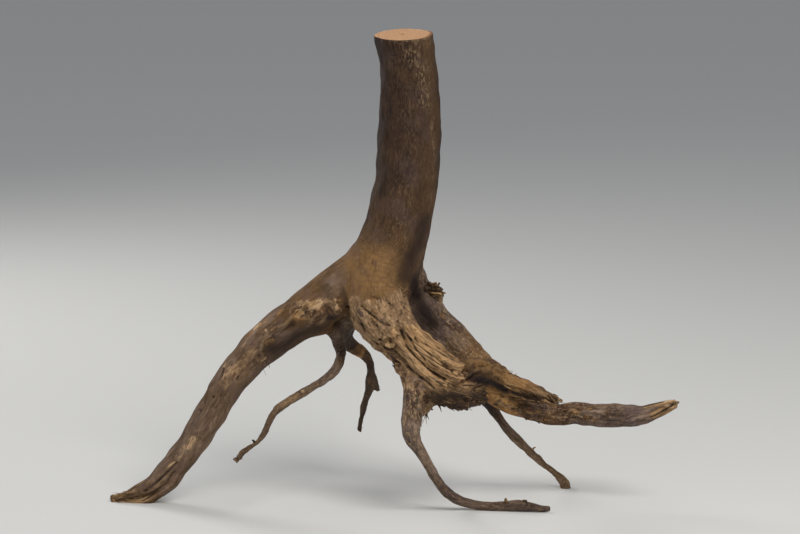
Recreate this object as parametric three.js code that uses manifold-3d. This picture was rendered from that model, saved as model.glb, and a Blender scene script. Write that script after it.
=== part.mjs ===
// A dry tree root, dug up and air dried, in one piece of wood: a sawn stem stub on a swollen crown, the thick
// roots that leave the crown, and the thin legs and twigs that grow from them. It stands on three root tips.
// Millimetres, +Z up. The floor is z = 0, the front is towards -Y, and the origin lies under the middle.
//
// The wood is one closed surface round a field of distances: each root is a thick line, neighbouring roots
// melt together where they meet, and knots, flutes, cracks and torn ends are added to the field by formula.
import * as THREE from "three";
import Module from "manifold-3d";

// Fineness of the model
const CELL = 2; // the field is sampled on cubes of this size
const TRIANGLES = 10200; // the surface is thinned to this many
const MELT = 4; // how far round a junction the roots melt together

// The two kinds of flat that the wood has
const SAW_CUT = { centre: [10, -5, 427.5], normal: [-0.03, -0.13, 1] };
const FLOOR = 0;

// Each root runs from inside the wood that it grew from to its tip, along stations [x, y, z, radius].
// flutes: ridges round the root, their depth, how many degrees the grain turns in 100 mm, and how many mm
// along they begin.
// knobbly: depth of its uneven swellings. tip: how rough its broken end is, and how far it splinters.
const ROOTS = {
  stem: {
    stations: [
      [10, -6, 452, 25.6],
      [11.5, -5, 427, 25.4],
      [14, -3, 412, 25.2],
      [15.5, 1, 395, 25.2],
      [16.5, 4, 373, 26.8],
      [16.5, 6, 346, 28.2],
      [15.5, 6, 321, 28.6],
      [14, 5, 296, 28.2],
      [8.5, 4, 269, 29.2],
      [3.5, 3, 244, 28.4],
      [-4, 2, 220, 28],
      [-10, 0, 197, 26],
      [-15, 0, 180, 18],
    ],
    flutes: [5, 0.5, 10],
    knobbly: 0.5,
  },
  left_root: {
    stations: [
      [4, 4, 253, 14],
      [-12, 0, 231, 19],
      [-33, -5, 210, 20.6],
      [-58, -8, 191.5, 21.2],
      [-82, -10, 173.5, 19],
      [-108, -12, 155, 18.4],
      [-130.5, -12, 134.5, 15.8],
      [-146.5, -10, 112.5, 14.5],
      [-161, -7, 88.5, 14],
      [-174, -4, 66.5, 13],
      [-190, -1, 44, 12.4],
      [-206, 2, 23, 13],
      [-222, 4, 11, 10.6],
      [-239, 4, 5, 6.5],
      [-252, 4, 3.8, 5.5],
      [-265, 4, 6.5, 2.8],
    ],
    flutes: [6, 0.8, 25],
    knobbly: 0.8,
    tip: [3, 5],
  },
  front_root: {
    stations: [
      [-2, -4, 237, 17],
      [-11, -12, 214, 22.5],
      [-12, -20, 195, 24.5],
      [-6, -28, 176, 24],
      [5, -33, 162, 20.5],
      [18, -37, 149, 19.5],
      [31, -40, 136, 20.5],
      [45, -41, 124.5, 20.8],
      [57, -38, 123.5, 17.5],
      [69, -30, 126, 13.5],
      [81, -18, 126, 11],
      [92, -6, 121.5, 9],
    ],
    flutes: [9, 2.4, 30, 60],
    knobbly: 1.2,
  },
  torn_strand: {
    stations: [
      [33, -41, 129, 15],
      [45, -43, 119, 16],
      [57, -44, 112, 12.5],
      [69, -42, 108.5, 9.5],
      [80, -39, 107, 6.5],
      [92, -36, 105.5, 5],
    ],
    flutes: [5, 1.6, 30],
    knobbly: 1.2,
    tip: [4, 9],
  },
  back_root: {
    stations: [
      [10, 8, 233, 14],
      [13, 17, 212, 15.2],
      [19, 25, 194, 17],
      [30, 29, 174, 17.2],
      [40, 30, 160.5, 17.4],
      [50, 28, 150.5, 17.6],
      [59.5, 24, 140.5, 16.6],
      [68.5, 18, 130.5, 15.2],
      [80, 10, 122.5, 14.2],
      [92, 2, 116.5, 11],
      [102, -4, 114, 9],
      [118, -9, 109.5, 8.6],
      [134, -14, 103.5, 7.3],
      [144, -17, 99.5, 5.6],
      [155, -20, 95, 4.6],
    ],
    flutes: [6, 0.9, 20],
    knobbly: 0.8,
    tip: [3, 11],
  },
  right_root: {
    stations: [
      [68, 18, 137, 10],
      [79, 9, 117, 10.8],
      [89, 4, 104, 10],
      [101, 4, 95, 9],
      [114, 7, 89.5, 9],
      [127, 10, 85, 8.9],
      [141, 13, 81, 9],
      [152, 14, 79, 9.7],
      [170, 14, 80, 10],
      [190, 10, 80, 10.8],
      [210, 4, 80.5, 10.4],
      [227, -4, 83, 8.9],
      [239, -10, 88, 7],
      [249, -15, 93.5, 5],
      [262, -20, 99.5, 3.8],
    ],
    flutes: [5, 0.7, 25],
    knobbly: 0.7,
    tip: [3, 8],
  },
  front_leg: {
    stations: [
      [29, -42, 139, 10.5],
      [22, -50, 126, 9.4],
      [20, -55, 113, 9.2],
      [19.5, -57, 100.5, 9.4],
      [18, -58, 86, 8.7],
      [19, -55, 74, 7.4],
      [25, -50, 61.5, 5.6],
      [33, -45, 46.5, 4.8],
      [40.5, -40, 32, 4.2],
      [48, -34, 20.5, 4.3],
      [58.5, -30, 11.5, 4.5],
      [72, -27, 5.6, 4.2],
      [87, -27, 3.8, 4.1],
      [102, -29, 4.6, 4.6],
      [115, -31, 5.8, 5],
      [127, -33, 4.6, 4.1],
      [136, -34, 3, 3.3],
      [150, -35, 2.6, 2.8],
    ],
    flutes: [4, 0.4, 30],
    knobbly: 0.4,
    tip: [1, 5],
  },
  back_leg: {
    stations: [
      [75, 10, 114, 9.5],
      [83, 20, 98, 7],
      [90, 28, 86, 5],
      [97.5, 34, 74.5, 4.4],
      [106, 39, 62, 3.9],
      [115, 44, 50.5, 4.5],
      [125, 48, 40, 3.9],
      [137, 52, 28, 3.5],
      [147, 55, 19.5, 2.8],
      [155, 57, 12, 3.2],
      [161, 58, 5, 4.4],
      [165, 59, -2, 3.6],
      [172, 60, -10, 3.4],
    ],
    flutes: [4, 0.4, 30],
    knobbly: 0.4,
    tip: [1, 2],
  },
  left_twig: {
    stations: [
      [-35, 6, 179, 10.8],
      [-44, 8, 161, 8.6],
      [-47, 6, 148, 5.8],
      [-45.5, 1, 139, 4.4],
      [-47, -6, 131, 4.6],
      [-54, -14, 122, 4.3],
      [-66, -26, 116, 4],
      [-79, -37, 109.5, 3.6],
      [-92, -49, 103, 3.3],
      [-102.5, -58, 97, 4.2],
      [-107, -63, 90, 3.8],
      [-111, -68, 82, 3.2],
      [-116, -72, 75, 2.7],
      [-122.5, -75, 71, 3.2],
      [-130, -78, 66, 3],
      [-135, -80, 59, 2.2],
      [-138, -82, 54, 1.6],
    ],
    flutes: [3, 0.3, 40],
    knobbly: 0.4,
    tip: [1, 3],
  },
  back_twig: {
    stations: [
      [-41, 22, 168, 11.8],
      [-43, 32, 150, 8],
      [-37, 44, 138, 6.8],
      [-28, 53, 130.5, 5.8],
      [-20.5, 60, 121, 4.2],
      [-19, 66, 108, 3.3],
      [-19, 70, 95.5, 3.2],
      [-23, 74, 82.5, 3.1],
      [-26.5, 77, 68.5, 2.8],
      [-29, 80, 56, 2.6],
      [-31, 82, 42, 2.4],
    ],
    flutes: [3, 0.3, 40],
    knobbly: 0.4,
    tip: [1, 4],
  },
  twig_spur: {
    stations: [
      [-18, 67, 100, 3],
      [-14, 65, 95.5, 2.4],
      [-11, 63, 91, 1.9],
      [-7, 61, 86, 1.5],
    ],
    flutes: [3, 0.1, 0],
    knobbly: 0.2,
    tip: [1, 2],
  },
};

// Swellings and hollows, as strokes of a rounded brush: a line of points, half width, height.
const STROKES = [
  // Low rib under the left corner of the sawn stem
  { points: [[-17, -8, 430], [-12, -6, 408]], width: 7, height: 1.2 },
  // Folds of the crown over the fork between the left and front roots
  { points: [[-52, -28, 206], [-49, -31, 190], [-46, -26, 176]], width: 5, height: 4 },
  { points: [[-41, -33, 204], [-37, -34, 190], [-33, -30, 178]], width: 5, height: 3.5 },
  { points: [[-46, -34, 203], [-43, -36, 190], [-40, -30, 176]], width: 3, height: -6 },
  { points: [[-58, -28, 186], [-54, -29, 176]], width: 3, height: -4 },
  // Web of wood that carries the left twig, under the fork of the left and front roots
  { points: [[-62, -6, 162], [-53, -3, 158]], width: 8, height: 8 },
  { points: [[-38, -14, 158], [-30, -16, 166]], width: 6, height: 5 },
  // Rough scar on the shoulder of the left root
  { points: [[-84, -30, 179], [-72, -31, 187]], width: 6, height: 3.5 },
  { points: [[-80, -33, 176], [-72, -34, 181]], width: 3, height: -4 },
  { points: [[-68, -30, 176], [-62, -30, 182]], width: 4, height: 3 },
  // Knob where the bark of the left root ends
  { points: [[-119, -30, 139], [-116, -31, 135]], width: 4, height: 2.5 },
  // Burls of the bare front root, and the dead knot on its flank
  { points: [[-21, -42, 186], [-11, -46, 183]], width: 6, height: 4 },
  { points: [[-30, -38, 168], [-20, -46, 164]], width: 5, height: 3 },
  { points: [[-2, -50, 174], [6, -52, 165]], width: 5, height: 3 },
  { points: [[-7, -53, 152], [-4, -54, 146], [2, -55, 149], [-1, -54, 155]], width: 4, height: 4.5 },
  { points: [[-2, -58, 150]], width: 3, height: -6 },
  { points: [[-3, -52, 137], [3, -52, 131]], width: 5, height: 4 },
  // Stump of a branch on the back of the back root
  { points: [[41, 24, 196], [45, 25, 188]], width: 4, height: 7 },
  { points: [[37, 24, 204]], width: 4, height: -4 },
  // Lip of the torn front root, and the bark that hangs from it
  { points: [[35, -50, 108], [32, -52, 97]], width: 4, height: 7 },
  { points: [[55, -50, 101], [61, -50, 99]], width: 4, height: 3 },
  { points: [[45, -57, 121], [57, -56, 115], [68, -51, 112]], width: 4, height: 2.5 },
  // Knuckles and broken rootlets of the legs and twigs
  { points: [[11, -62, 73]], width: 4, height: 1.4 },
  { points: [[106, -36, 12]], width: 2.5, height: 2.6 },
  { points: [[123, -39, 10]], width: 2.5, height: 2.2 },
  { points: [[138, 52, 32]], width: 3, height: 1.6 },
  { points: [[-79, -39, 114]], width: 3, height: 1.4 },
  { points: [[-108, -66, 92]], width: 3, height: 1.6 },
  { points: [[-126, -78, 70]], width: 3, height: 1.2 },
  { points: [[-17, 52, 133]], width: 4, height: 1.5 },
];

// Drying cracks, which run with the grain: the root, where each starts and ends as [mm along, degrees round],
// its half width and its depth. 0 degrees faces the front, and 90 degrees is the right side of what runs
// down, the top of what runs right and the underside of what runs left.
const CRACKS = [
  { root: "left_root", from: [285, 14], to: [430, 26], width: 2.4, depth: 7 },
  { root: "left_root", from: [330, -70], to: [420, -60], width: 2.4, depth: 3 },
  { root: "left_root", from: [90, 150], to: [190, 170], width: 2.6, depth: 3.5 },
  { root: "front_root", from: [74, 24], to: [170, -2], width: 3, depth: 5.5 },
  { root: "front_root", from: [88, 52], to: [180, 28], width: 2.8, depth: 4 },
  { root: "front_root", from: [84, -18], to: [165, -40], width: 2.8, depth: 3.5 },
  { root: "front_root", from: [80, 130], to: [150, 115], width: 2.8, depth: 4 },
  { root: "back_root", from: [172, -28], to: [250, -12], width: 2.6, depth: 5 },
  { root: "back_root", from: [188, -62], to: [250, -46], width: 2.4, depth: 4 },
  { root: "back_root", from: [60, 160], to: [150, 175], width: 2.6, depth: 3 },
  { root: "right_root", from: [205, -20], to: [252, -34], width: 2.4, depth: 4 },
  { root: "right_root", from: [60, 20], to: [120, 35], width: 2.4, depth: 2 },
  { root: "stem", from: [20, 155], to: [150, 165], width: 2.6, depth: 3 },
];

const REACH = 22; // beyond this distance a root has no part in the field
const SAMPLE = 4; // spacing of the points that stand for a root's curve
const TOWARDS_FRONT = new THREE.Vector3(0, -1, 0);

// Smooth curve through four values, at t from the second to the third.
function catmullRom(a, b, c, d, t) {
  const slope0 = (c - a) / 2;
  const slope1 = (d - b) / 2;
  const cubic = 2 * b - 2 * c + slope0 + slope1;
  const square = 3 * c - 3 * b - 2 * slope0 - slope1;
  return ((cubic * t + square) * t + slope0) * t + b;
}

// Points along a root, each with its radius, its distance along the root and the frame that angles go by.
function trace(stations) {
  const points = [];
  for (let i = 0; i + 1 < stations.length; i++) {
    const four = [-1, 0, 1, 2].map((k) => stations[THREE.MathUtils.clamp(i + k, 0, stations.length - 1)]);
    const length = Math.hypot(...[0, 1, 2].map((axis) => four[2][axis] - four[1][axis]));
    const steps = Math.max(2, Math.round(length / SAMPLE));
    const last = i + 2 === stations.length ? steps : steps - 1;
    for (let s = 0; s <= last; s++) {
      points.push([0, 1, 2, 3].map((axis) => catmullRom(...four.map((station) => station[axis]), s / steps)));
    }
  }
  let along = 0;
  return points.map((point, i) => {
    const before = points[Math.max(0, i - 1)];
    const after = points[Math.min(points.length - 1, i + 1)];
    if (i > 0) along += Math.hypot(point[0] - before[0], point[1] - before[1], point[2] - before[2]);
    const tangent = new THREE.Vector3(after[0] - before[0], after[1] - before[1], after[2] - before[2]).normalize();
    const front = TOWARDS_FRONT.clone().addScaledVector(tangent, -TOWARDS_FRONT.dot(tangent)).normalize();
    const side = new THREE.Vector3().crossVectors(front, tangent);
    const next = points[Math.min(points.length - 1, i + 1)];
    const [dx, dy, dz, widening] = [0, 1, 2, 3].map((axis) => next[axis] - point[axis]);
    const square = dx * dx + dy * dy + dz * dz;
    const [x, y, z, radius] = point;
    return { x, y, z, radius, dx, dy, dz, widening, square, along, tangent, front, side };
  });
}

// Uneven swelling of about one unit, from waves that run in different directions.
function ripple(x, y, z) {
  return (
    (Math.sin(0.19 * x + 0.11 * y + 0.05 * z + 1.3) +
      Math.sin(-0.07 * x + 0.23 * y + 0.13 * z + 4.1) +
      Math.sin(0.12 * x - 0.16 * y + 0.21 * z + 2.2) +
      0.7 * Math.sin(0.33 * x + 0.28 * y - 0.31 * z + 0.4) +
      0.7 * Math.sin(-0.36 * x + 0.3 * y + 0.27 * z + 5.2)) /
    2.2
  );
}

const roots = Object.entries(ROOTS).map(([name, root]) => {
  const line = trace(root.stations);
  const box = new THREE.Box3().setFromPoints(line.map((p) => new THREE.Vector3(p.x, p.y, p.z)));
  box.expandByScalar(Math.max(...line.map((p) => p.radius)) + REACH);
  const cracks = CRACKS.filter((crack) => crack.root === name);
  return { ...root, name, line, box, cracks };
});

// How far a point lies outside a root's smooth form, and where it is along and round that root.
function placeOn(root, x, y, z) {
  let best = Infinity;
  let at = 0;
  let share = 0;
  for (let i = 0; i + 1 < root.line.length; i++) {
    const a = root.line[i];
    const [px, py, pz] = [x - a.x, y - a.y, z - a.z];
    const t = Math.min(1, Math.max(0, (px * a.dx + py * a.dy + pz * a.dz) / a.square));
    const [gx, gy, gz] = [px - t * a.dx, py - t * a.dy, pz - t * a.dz];
    const distance = Math.sqrt(gx * gx + gy * gy + gz * gz) - a.radius - t * a.widening;
    if (distance < best) {
      best = distance;
      at = i;
      share = t;
    }
  }
  const a = root.line[at];
  const out = [x - a.x - share * a.dx, y - a.y - share * a.dy, z - a.z - share * a.dz];
  const front = out[0] * a.front.x + out[1] * a.front.y + out[2] * a.front.z;
  const side = out[0] * a.side.x + out[1] * a.side.y + out[2] * a.side.z;
  return {
    distance: best,
    along: a.along + share * Math.sqrt(a.square),
    radius: a.radius + share * a.widening,
    angle: Math.atan2(side, front),
    front,
    side,
  };
}

// Ridges, swellings and cracks of a root at a place on it, as a height above its smooth form.
function reliefOf(root, place, x, y, z) {
  const [count, depth, turn, from = 0] = root.flutes;
  const grain = place.angle + THREE.MathUtils.degToRad((turn * place.along) / 100);
  const wander = 0.5 * Math.sin(place.along * 0.045 + count) + 0.3 * Math.sin(place.along * 0.11 + 2 * grain);
  const risen = THREE.MathUtils.smoothstep(place.along, from - 25, from + 25);
  let height = depth * risen * (Math.hypot(Math.sin((count / 2) * grain + wander), 0.25) - 0.65) * 1.5;
  height += root.knobbly * ripple(x, y, z);
  for (const crack of root.cracks) {
    const t = (place.along - crack.from[0]) / (crack.to[0] - crack.from[0]);
    if (t < 0 || t > 1) continue;
    const middle = THREE.MathUtils.degToRad(THREE.MathUtils.lerp(crack.from[1], crack.to[1], t));
    const turned = Math.atan2(Math.sin(place.angle - middle), Math.cos(place.angle - middle));
    const across = turned * place.radius + Math.sin(place.along * 0.13) * 0.8;
    const open = Math.min(1, 6 * t, crack.root === "stem" ? 6 * (1 - t) : 3 * (1 - t) + 0.6);
    height -= crack.depth * open * Math.exp(-((across / crack.width) ** 2));
  }
  return height;
}

// A broken end: the root stops at a jagged face across its last station, splintered along the grain.
function tornEnd(root, place, x, y, z) {
  const [rough, splinters] = root.tip;
  const end = root.line[root.line.length - 3];
  const t = end.tangent;
  const past = (x - end.x) * t.x + (y - end.y) * t.y + (z - end.z) * t.z;
  const jag =
    Math.sin(place.front * 0.9 + 1) * Math.sin(place.side * 0.75 + 2) * splinters +
    Math.sin(place.front * 1.9) * rough * 0.4 +
    Math.sin(place.side * 2.1 + 1) * rough * 0.4;
  return (past + jag * 0.6) * 0.6;
}

function strokeHeight(x, y, z) {
  let height = 0;
  for (const { points, width, height: tall } of STROKES) {
    let nearest = Infinity;
    for (let i = 0; i < Math.max(1, points.length - 1); i++) {
      const a = points[i];
      const b = points[Math.min(i + 1, points.length - 1)];
      const d = [b[0] - a[0], b[1] - a[1], b[2] - a[2]];
      const square = d[0] * d[0] + d[1] * d[1] + d[2] * d[2] || 1;
      const t = ((x - a[0]) * d[0] + (y - a[1]) * d[1] + (z - a[2]) * d[2]) / square;
      const held = Math.min(1, Math.max(0, t));
      const gap = [x - a[0] - held * d[0], y - a[1] - held * d[1], z - a[2] - held * d[2]];
      nearest = Math.min(nearest, Math.sqrt(gap[0] * gap[0] + gap[1] * gap[1] + gap[2] * gap[2]));
    }
    if (nearest < 3 * width) height += tall * Math.exp(-((nearest / width) ** 2));
  }
  return height;
}

// The field: under 0 in the wood and over 0 outside it, and near the surface about the distance in mm.
function wood(x, y, z) {
  let sum = 0;
  let relief = 0;
  for (const root of roots) {
    const { min, max } = root.box;
    if (x < min.x || x > max.x || y < min.y || y > max.y || z < min.z || z > max.z) continue;
    const place = placeOn(root, x, y, z);
    let { distance } = place;
    if (root.tip) distance = Math.max(distance, tornEnd(root, place, x, y, z));
    if (distance > REACH) continue;
    const weight = Math.exp(-distance / MELT);
    sum += weight;
    relief += weight * reliefOf(root, place, x, y, z);
  }
  if (sum === 0) return REACH;
  return -MELT * Math.log(sum) - relief / sum - strokeHeight(x, y, z);
}

// Marching tetrahedra: each cube of the grid is six tetrahedra round its diagonal, and each tetrahedron that
// the surface passes through gives one or two triangles. Neighbours share the diagonal, so the surface closes.
const TETRAHEDRA = [
  [0, 1, 3, 7],
  [0, 2, 6, 7],
  [0, 4, 5, 7],
  [0, 1, 7, 5],
  [0, 4, 7, 6],
  [0, 2, 7, 3],
];
// Even orders of a tetrahedron's corners that put the wood's corners first, by a mask of those corners.
const ORDERS = {
  1: [0, 1, 2, 3],
  2: [1, 0, 3, 2],
  4: [2, 3, 0, 1],
  8: [3, 2, 1, 0],
  3: [0, 1, 2, 3],
  5: [0, 2, 3, 1],
  9: [0, 3, 1, 2],
  6: [1, 2, 0, 3],
  10: [1, 3, 2, 0],
  12: [2, 3, 0, 1],
};

function surfaceOf(field, box) {
  const count = box.getSize(new THREE.Vector3()).divideScalar(CELL).ceil().addScalar(1);
  const strides = [1, count.x, count.x * count.y];
  const values = new Float32Array(count.x * count.y * count.z).fill(NaN);
  const cornerOf = (i) => [
    box.min.x + CELL * (i % count.x),
    box.min.y + CELL * (Math.floor(i / strides[1]) % count.y),
    box.min.z + CELL * Math.floor(i / strides[2]),
  ];
  const valueOf = (i) => {
    if (Number.isNaN(values[i])) values[i] = field(...cornerOf(i));
    return values[i];
  };
  const points = [];
  const triangles = [];
  const known = new Map();
  const crossing = (a, b) => {
    const key = Math.min(a, b) * values.length + Math.max(a, b);
    if (!known.has(key)) {
      const t = THREE.MathUtils.clamp(values[a] / (values[a] - values[b]), 0.08, 0.92);
      const from = cornerOf(a);
      const to = cornerOf(b);
      known.set(key, points.length / 3);
      points.push(...from.map((value, axis) => value + t * (to[axis] - value)));
    }
    return known.get(key);
  };
  const offsets = [0, 1, 2, 3, 4, 5, 6, 7].map(
    (bits) => (bits & 1) * strides[0] + ((bits >> 1) & 1) * strides[1] + (bits >> 2) * strides[2],
  );
  const cube = (base) => {
    const corners = offsets.map((offset) => base + offset);
    const inside = corners.map((corner) => valueOf(corner) < 0);
    if (inside.every(Boolean) || !inside.some(Boolean)) return;
    for (const tetrahedron of TETRAHEDRA) {
      const mask = tetrahedron.reduce((sum, corner, bit) => sum + (inside[corner] ? 1 << bit : 0), 0);
      if (mask === 0 || mask === 15) continue;
      const full = ORDERS[mask] ? mask : 15 - mask;
      const [a, b, c, d] = ORDERS[full].map((place) => corners[tetrahedron[place]]);
      const flip = full !== mask;
      if ([3, 5, 9, 6, 10, 12].includes(full)) {
        const [ac, ad, bd, bc] = [crossing(a, c), crossing(a, d), crossing(b, d), crossing(b, c)];
        triangles.push(ac, ad, bd, ac, bd, bc);
      } else {
        const [ab, ac, ad] = [crossing(a, b), crossing(a, c), crossing(a, d)];
        triangles.push(...(flip ? [ab, ad, ac] : [ab, ac, ad]));
      }
    }
  };
  // Blocks of cubes far from the surface are passed over.
  const BLOCK = 5;
  const near = CELL * BLOCK * 1.6;
  for (let k = 0; k + 1 < count.z; k += BLOCK) {
    for (let j = 0; j + 1 < count.y; j += BLOCK) {
      for (let i = 0; i + 1 < count.x; i += BLOCK) {
        const middle = [i, j, k].map((n, axis) => box.min.getComponent(axis) + CELL * (n + BLOCK / 2));
        if (Math.abs(field(...middle)) > near) continue;
        for (let kk = k; kk < Math.min(k + BLOCK, count.z - 1); kk++) {
          for (let jj = j; jj < Math.min(j + BLOCK, count.y - 1); jj++) {
            for (let ii = i; ii < Math.min(i + BLOCK, count.x - 1); ii++) {
              cube(ii + jj * strides[1] + kk * strides[2]);
            }
          }
        }
      }
    }
  }
  return { points, triangles };
}

// Thins a closed surface to a number of triangles, by joining the two ends of the edge whose loss changes
// the form least, as the squared distances to the planes that met there say.
function thin({ points, triangles }, target) {
  const total = points.length / 3;
  const quadrics = new Float64Array(total * 10);
  const around = Array.from({ length: total }, () => new Set());
  const alive = new Uint8Array(triangles.length / 3).fill(1);
  const stamp = new Uint32Array(total);
  let left = alive.length;
  const normalOf = (a, b, c) => {
    const u = [0, 1, 2].map((n) => points[3 * b + n] - points[3 * a + n]);
    const v = [0, 1, 2].map((n) => points[3 * c + n] - points[3 * a + n]);
    return [u[1] * v[2] - u[2] * v[1], u[2] * v[0] - u[0] * v[2], u[0] * v[1] - u[1] * v[0]];
  };
  for (let f = 0; f < alive.length; f++) {
    const [a, b, c] = [triangles[3 * f], triangles[3 * f + 1], triangles[3 * f + 2]];
    const normal = normalOf(a, b, c);
    const area = Math.hypot(...normal) || 1e-9;
    const [x, y, z] = normal.map((n) => n / area);
    const w = -(x * points[3 * a] + y * points[3 * a + 1] + z * points[3 * a + 2]);
    const plane = [x * x, x * y, x * z, x * w, y * y, y * z, y * w, z * z, z * w, w * w];
    for (const corner of [a, b, c]) {
      around[corner].add(f);
      for (let n = 0; n < 10; n++) quadrics[10 * corner + n] += plane[n] * area;
    }
  }
  const neighbours = (v) => {
    const found = new Set();
    for (const f of around[v]) for (let n = 0; n < 3; n++) found.add(triangles[3 * f + n]);
    found.delete(v);
    return found;
  };
  const STAY = 0.02; // pulls the joined point to the edge's middle where the planes leave it free
  const planFor = (a, b) => {
    const q = Array.from({ length: 10 }, (_, n) => quadrics[10 * a + n] + quadrics[10 * b + n]);
    const m = [0, 1, 2].map((n) => (points[3 * a + n] + points[3 * b + n]) / 2);
    const [xx, yy, zz] = [q[0] + STAY, q[4] + STAY, q[7] + STAY];
    const right = [STAY * m[0] - q[3], STAY * m[1] - q[6], STAY * m[2] - q[8]];
    const minors = [yy * zz - q[5] * q[5], q[1] * zz - q[5] * q[2], q[1] * q[5] - yy * q[2]];
    const det = xx * minors[0] - q[1] * minors[1] + q[2] * minors[2];
    const x =
      (right[0] * minors[0] - q[1] * (right[1] * zz - q[5] * right[2]) + q[2] * (right[1] * q[5] - yy * right[2])) / det;
    const y =
      (xx * (right[1] * zz - q[5] * right[2]) - right[0] * minors[1] + q[2] * (q[1] * right[2] - right[1] * q[2])) / det;
    const z =
      (xx * (yy * right[2] - right[1] * q[5]) - q[1] * (q[1] * right[2] - right[1] * q[2]) + right[0] * minors[2]) / det;
    const long = Math.hypot(...[0, 1, 2].map((n) => points[3 * a + n] - points[3 * b + n]));
    const place = Math.hypot(x - m[0], y - m[1], z - m[2]) < long ? [x, y, z] : m;
    const [px, py, pz] = place;
    const error =
      q[0] * px * px + q[4] * py * py + q[7] * pz * pz + q[9] +
      2 * (q[1] * px * py + q[2] * px * pz + q[5] * py * pz + q[3] * px + q[6] * py + q[8] * pz);
    return { cost: Math.max(0, error) + 0.02 * long * long, a, b, place, stamps: stamp[a] + stamp[b] };
  };
  const heap = [];
  const push = (plan) => {
    let i = heap.push(plan) - 1;
    while (i > 0 && heap[(i - 1) >> 1].cost > plan.cost) {
      heap[i] = heap[(i - 1) >> 1];
      i = (i - 1) >> 1;
    }
    heap[i] = plan;
  };
  const pop = () => {
    const top = heap[0];
    const last = heap.pop();
    if (heap.length === 0) return top;
    let i = 0;
    for (let child = 1; child < heap.length; child = 2 * i + 1) {
      if (child + 1 < heap.length && heap[child + 1].cost < heap[child].cost) child++;
      if (heap[child].cost >= last.cost) break;
      heap[i] = heap[child];
      i = child;
    }
    heap[i] = last;
    return top;
  };
  for (let v = 0; v < total; v++) for (const n of neighbours(v)) if (n > v) push(planFor(v, n));
  while (left > target && heap.length > 0) {
    const { a, b, place, stamps } = pop();
    if (around[a].size === 0 || around[b].size === 0 || stamps !== stamp[a] + stamp[b]) continue;
    const ofB = neighbours(b);
    if (!ofB.has(a) || [...neighbours(a)].filter((n) => ofB.has(n)).length !== 2) continue;
    const moved = [a, b].flatMap((v) => [...around[v]].filter((f) => !(around[a].has(f) && around[b].has(f))));
    const before = moved.map((f) => normalOf(triangles[3 * f], triangles[3 * f + 1], triangles[3 * f + 2]));
    const kept = [a, b].map((v) => points.slice(3 * v, 3 * v + 3));
    for (const v of [a, b]) for (let n = 0; n < 3; n++) points[3 * v + n] = place[n];
    const folds = moved.some((f, i) => {
      const after = normalOf(triangles[3 * f], triangles[3 * f + 1], triangles[3 * f + 2]);
      const along = after[0] * before[i][0] + after[1] * before[i][1] + after[2] * before[i][2];
      return along < 0.3 * Math.hypot(...after) * Math.hypot(...before[i]) || Math.hypot(...after) < 0.05;
    });
    if (folds) {
      [a, b].forEach((v, i) => kept[i].forEach((value, n) => (points[3 * v + n] = value)));
      continue;
    }
    for (const f of [...around[b]]) {
      if (around[a].has(f)) {
        alive[f] = 0;
        left--;
        for (let n = 0; n < 3; n++) around[triangles[3 * f + n]].delete(f);
      } else {
        for (let n = 0; n < 3; n++) if (triangles[3 * f + n] === b) triangles[3 * f + n] = a;
        around[a].add(f);
      }
    }
    around[b].clear();
    stamp[a]++;
    for (let n = 0; n < 10; n++) quadrics[10 * a + n] += quadrics[10 * b + n];
    for (const n of neighbours(a)) {
      stamp[n] += 0;
      push(planFor(a, n));
    }
  }
  const number = new Map();
  const keptPoints = [];
  const keptTriangles = [];
  for (let f = 0; f < alive.length; f++) {
    if (!alive[f]) continue;
    for (let n = 0; n < 3; n++) {
      const v = triangles[3 * f + n];
      if (!number.has(v)) {
        number.set(v, number.size);
        keptPoints.push(points[3 * v], points[3 * v + 1], points[3 * v + 2]);
      }
      keptTriangles.push(number.get(v));
    }
  }
  return { points: keptPoints, triangles: keptTriangles };
}

const wasm = await Module();
wasm.setup();

function solidOf({ points, triangles }) {
  return new wasm.Manifold(
    new wasm.Mesh({ numProp: 3, vertProperties: new Float32Array(points), triVerts: new Uint32Array(triangles) }),
  );
}

// A large block whose face lies on a plane and whose body lies on the side that the plane's normal points to.
function blockBeyond(point, normal) {
  const size = 200;
  const turn = new THREE.Quaternion().setFromUnitVectors(new THREE.Vector3(0, 0, 1), normal);
  const corners = [0, 1, 2, 3, 4, 5, 6, 7].flatMap((bits) => {
    const corner = new THREE.Vector3((bits & 1 ? 3 : -3) * size, (bits & 2 ? 3 : -3) * size, bits & 4 ? size : 0);
    return corner.applyQuaternion(turn).add(point).toArray();
  });
  const quads = [[0, 2, 3, 1], [4, 5, 7, 6], [0, 1, 5, 4], [2, 6, 7, 3], [0, 4, 6, 2], [1, 3, 7, 5]];
  return solidOf({ points: corners, triangles: quads.flatMap(([a, b, c, d]) => [a, b, c, a, c, d]) });
}

const bounds = roots.reduce((all, root) => all.union(root.box), new THREE.Box3());
const surface = surfaceOf(wood, bounds.expandByScalar(-REACH + 12));
const thinned = thin(surface, TRIANGLES);
const sawn = blockBeyond(new THREE.Vector3(...SAW_CUT.centre), new THREE.Vector3(...SAW_CUT.normal).normalize());
const floor = blockBeyond(new THREE.Vector3(0, 0, FLOOR), new THREE.Vector3(0, 0, -1));
const whole = solidOf(thinned).subtract(sawn).subtract(floor);
// The cracks and torn ends can cut a crumb loose: the wood is the largest body.
const body = whole.decompose().reduce((largest, piece) => (piece.volume() > largest.volume() ? piece : largest));
const mesh = body.getMesh();
const geometry = new THREE.BufferGeometry();
geometry.setAttribute("position", new THREE.BufferAttribute(mesh.vertProperties, 3));
geometry.setIndex(new THREE.BufferAttribute(mesh.triVerts, 1));
geometry.computeVertexNormals();

const weatheredWood = new THREE.MeshStandardMaterial({ color: 0x6b513a, roughness: 0.85, metalness: 0 });
const dryRoot = new THREE.Mesh(geometry, weatheredWood);
dryRoot.name = "dry_root";

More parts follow.
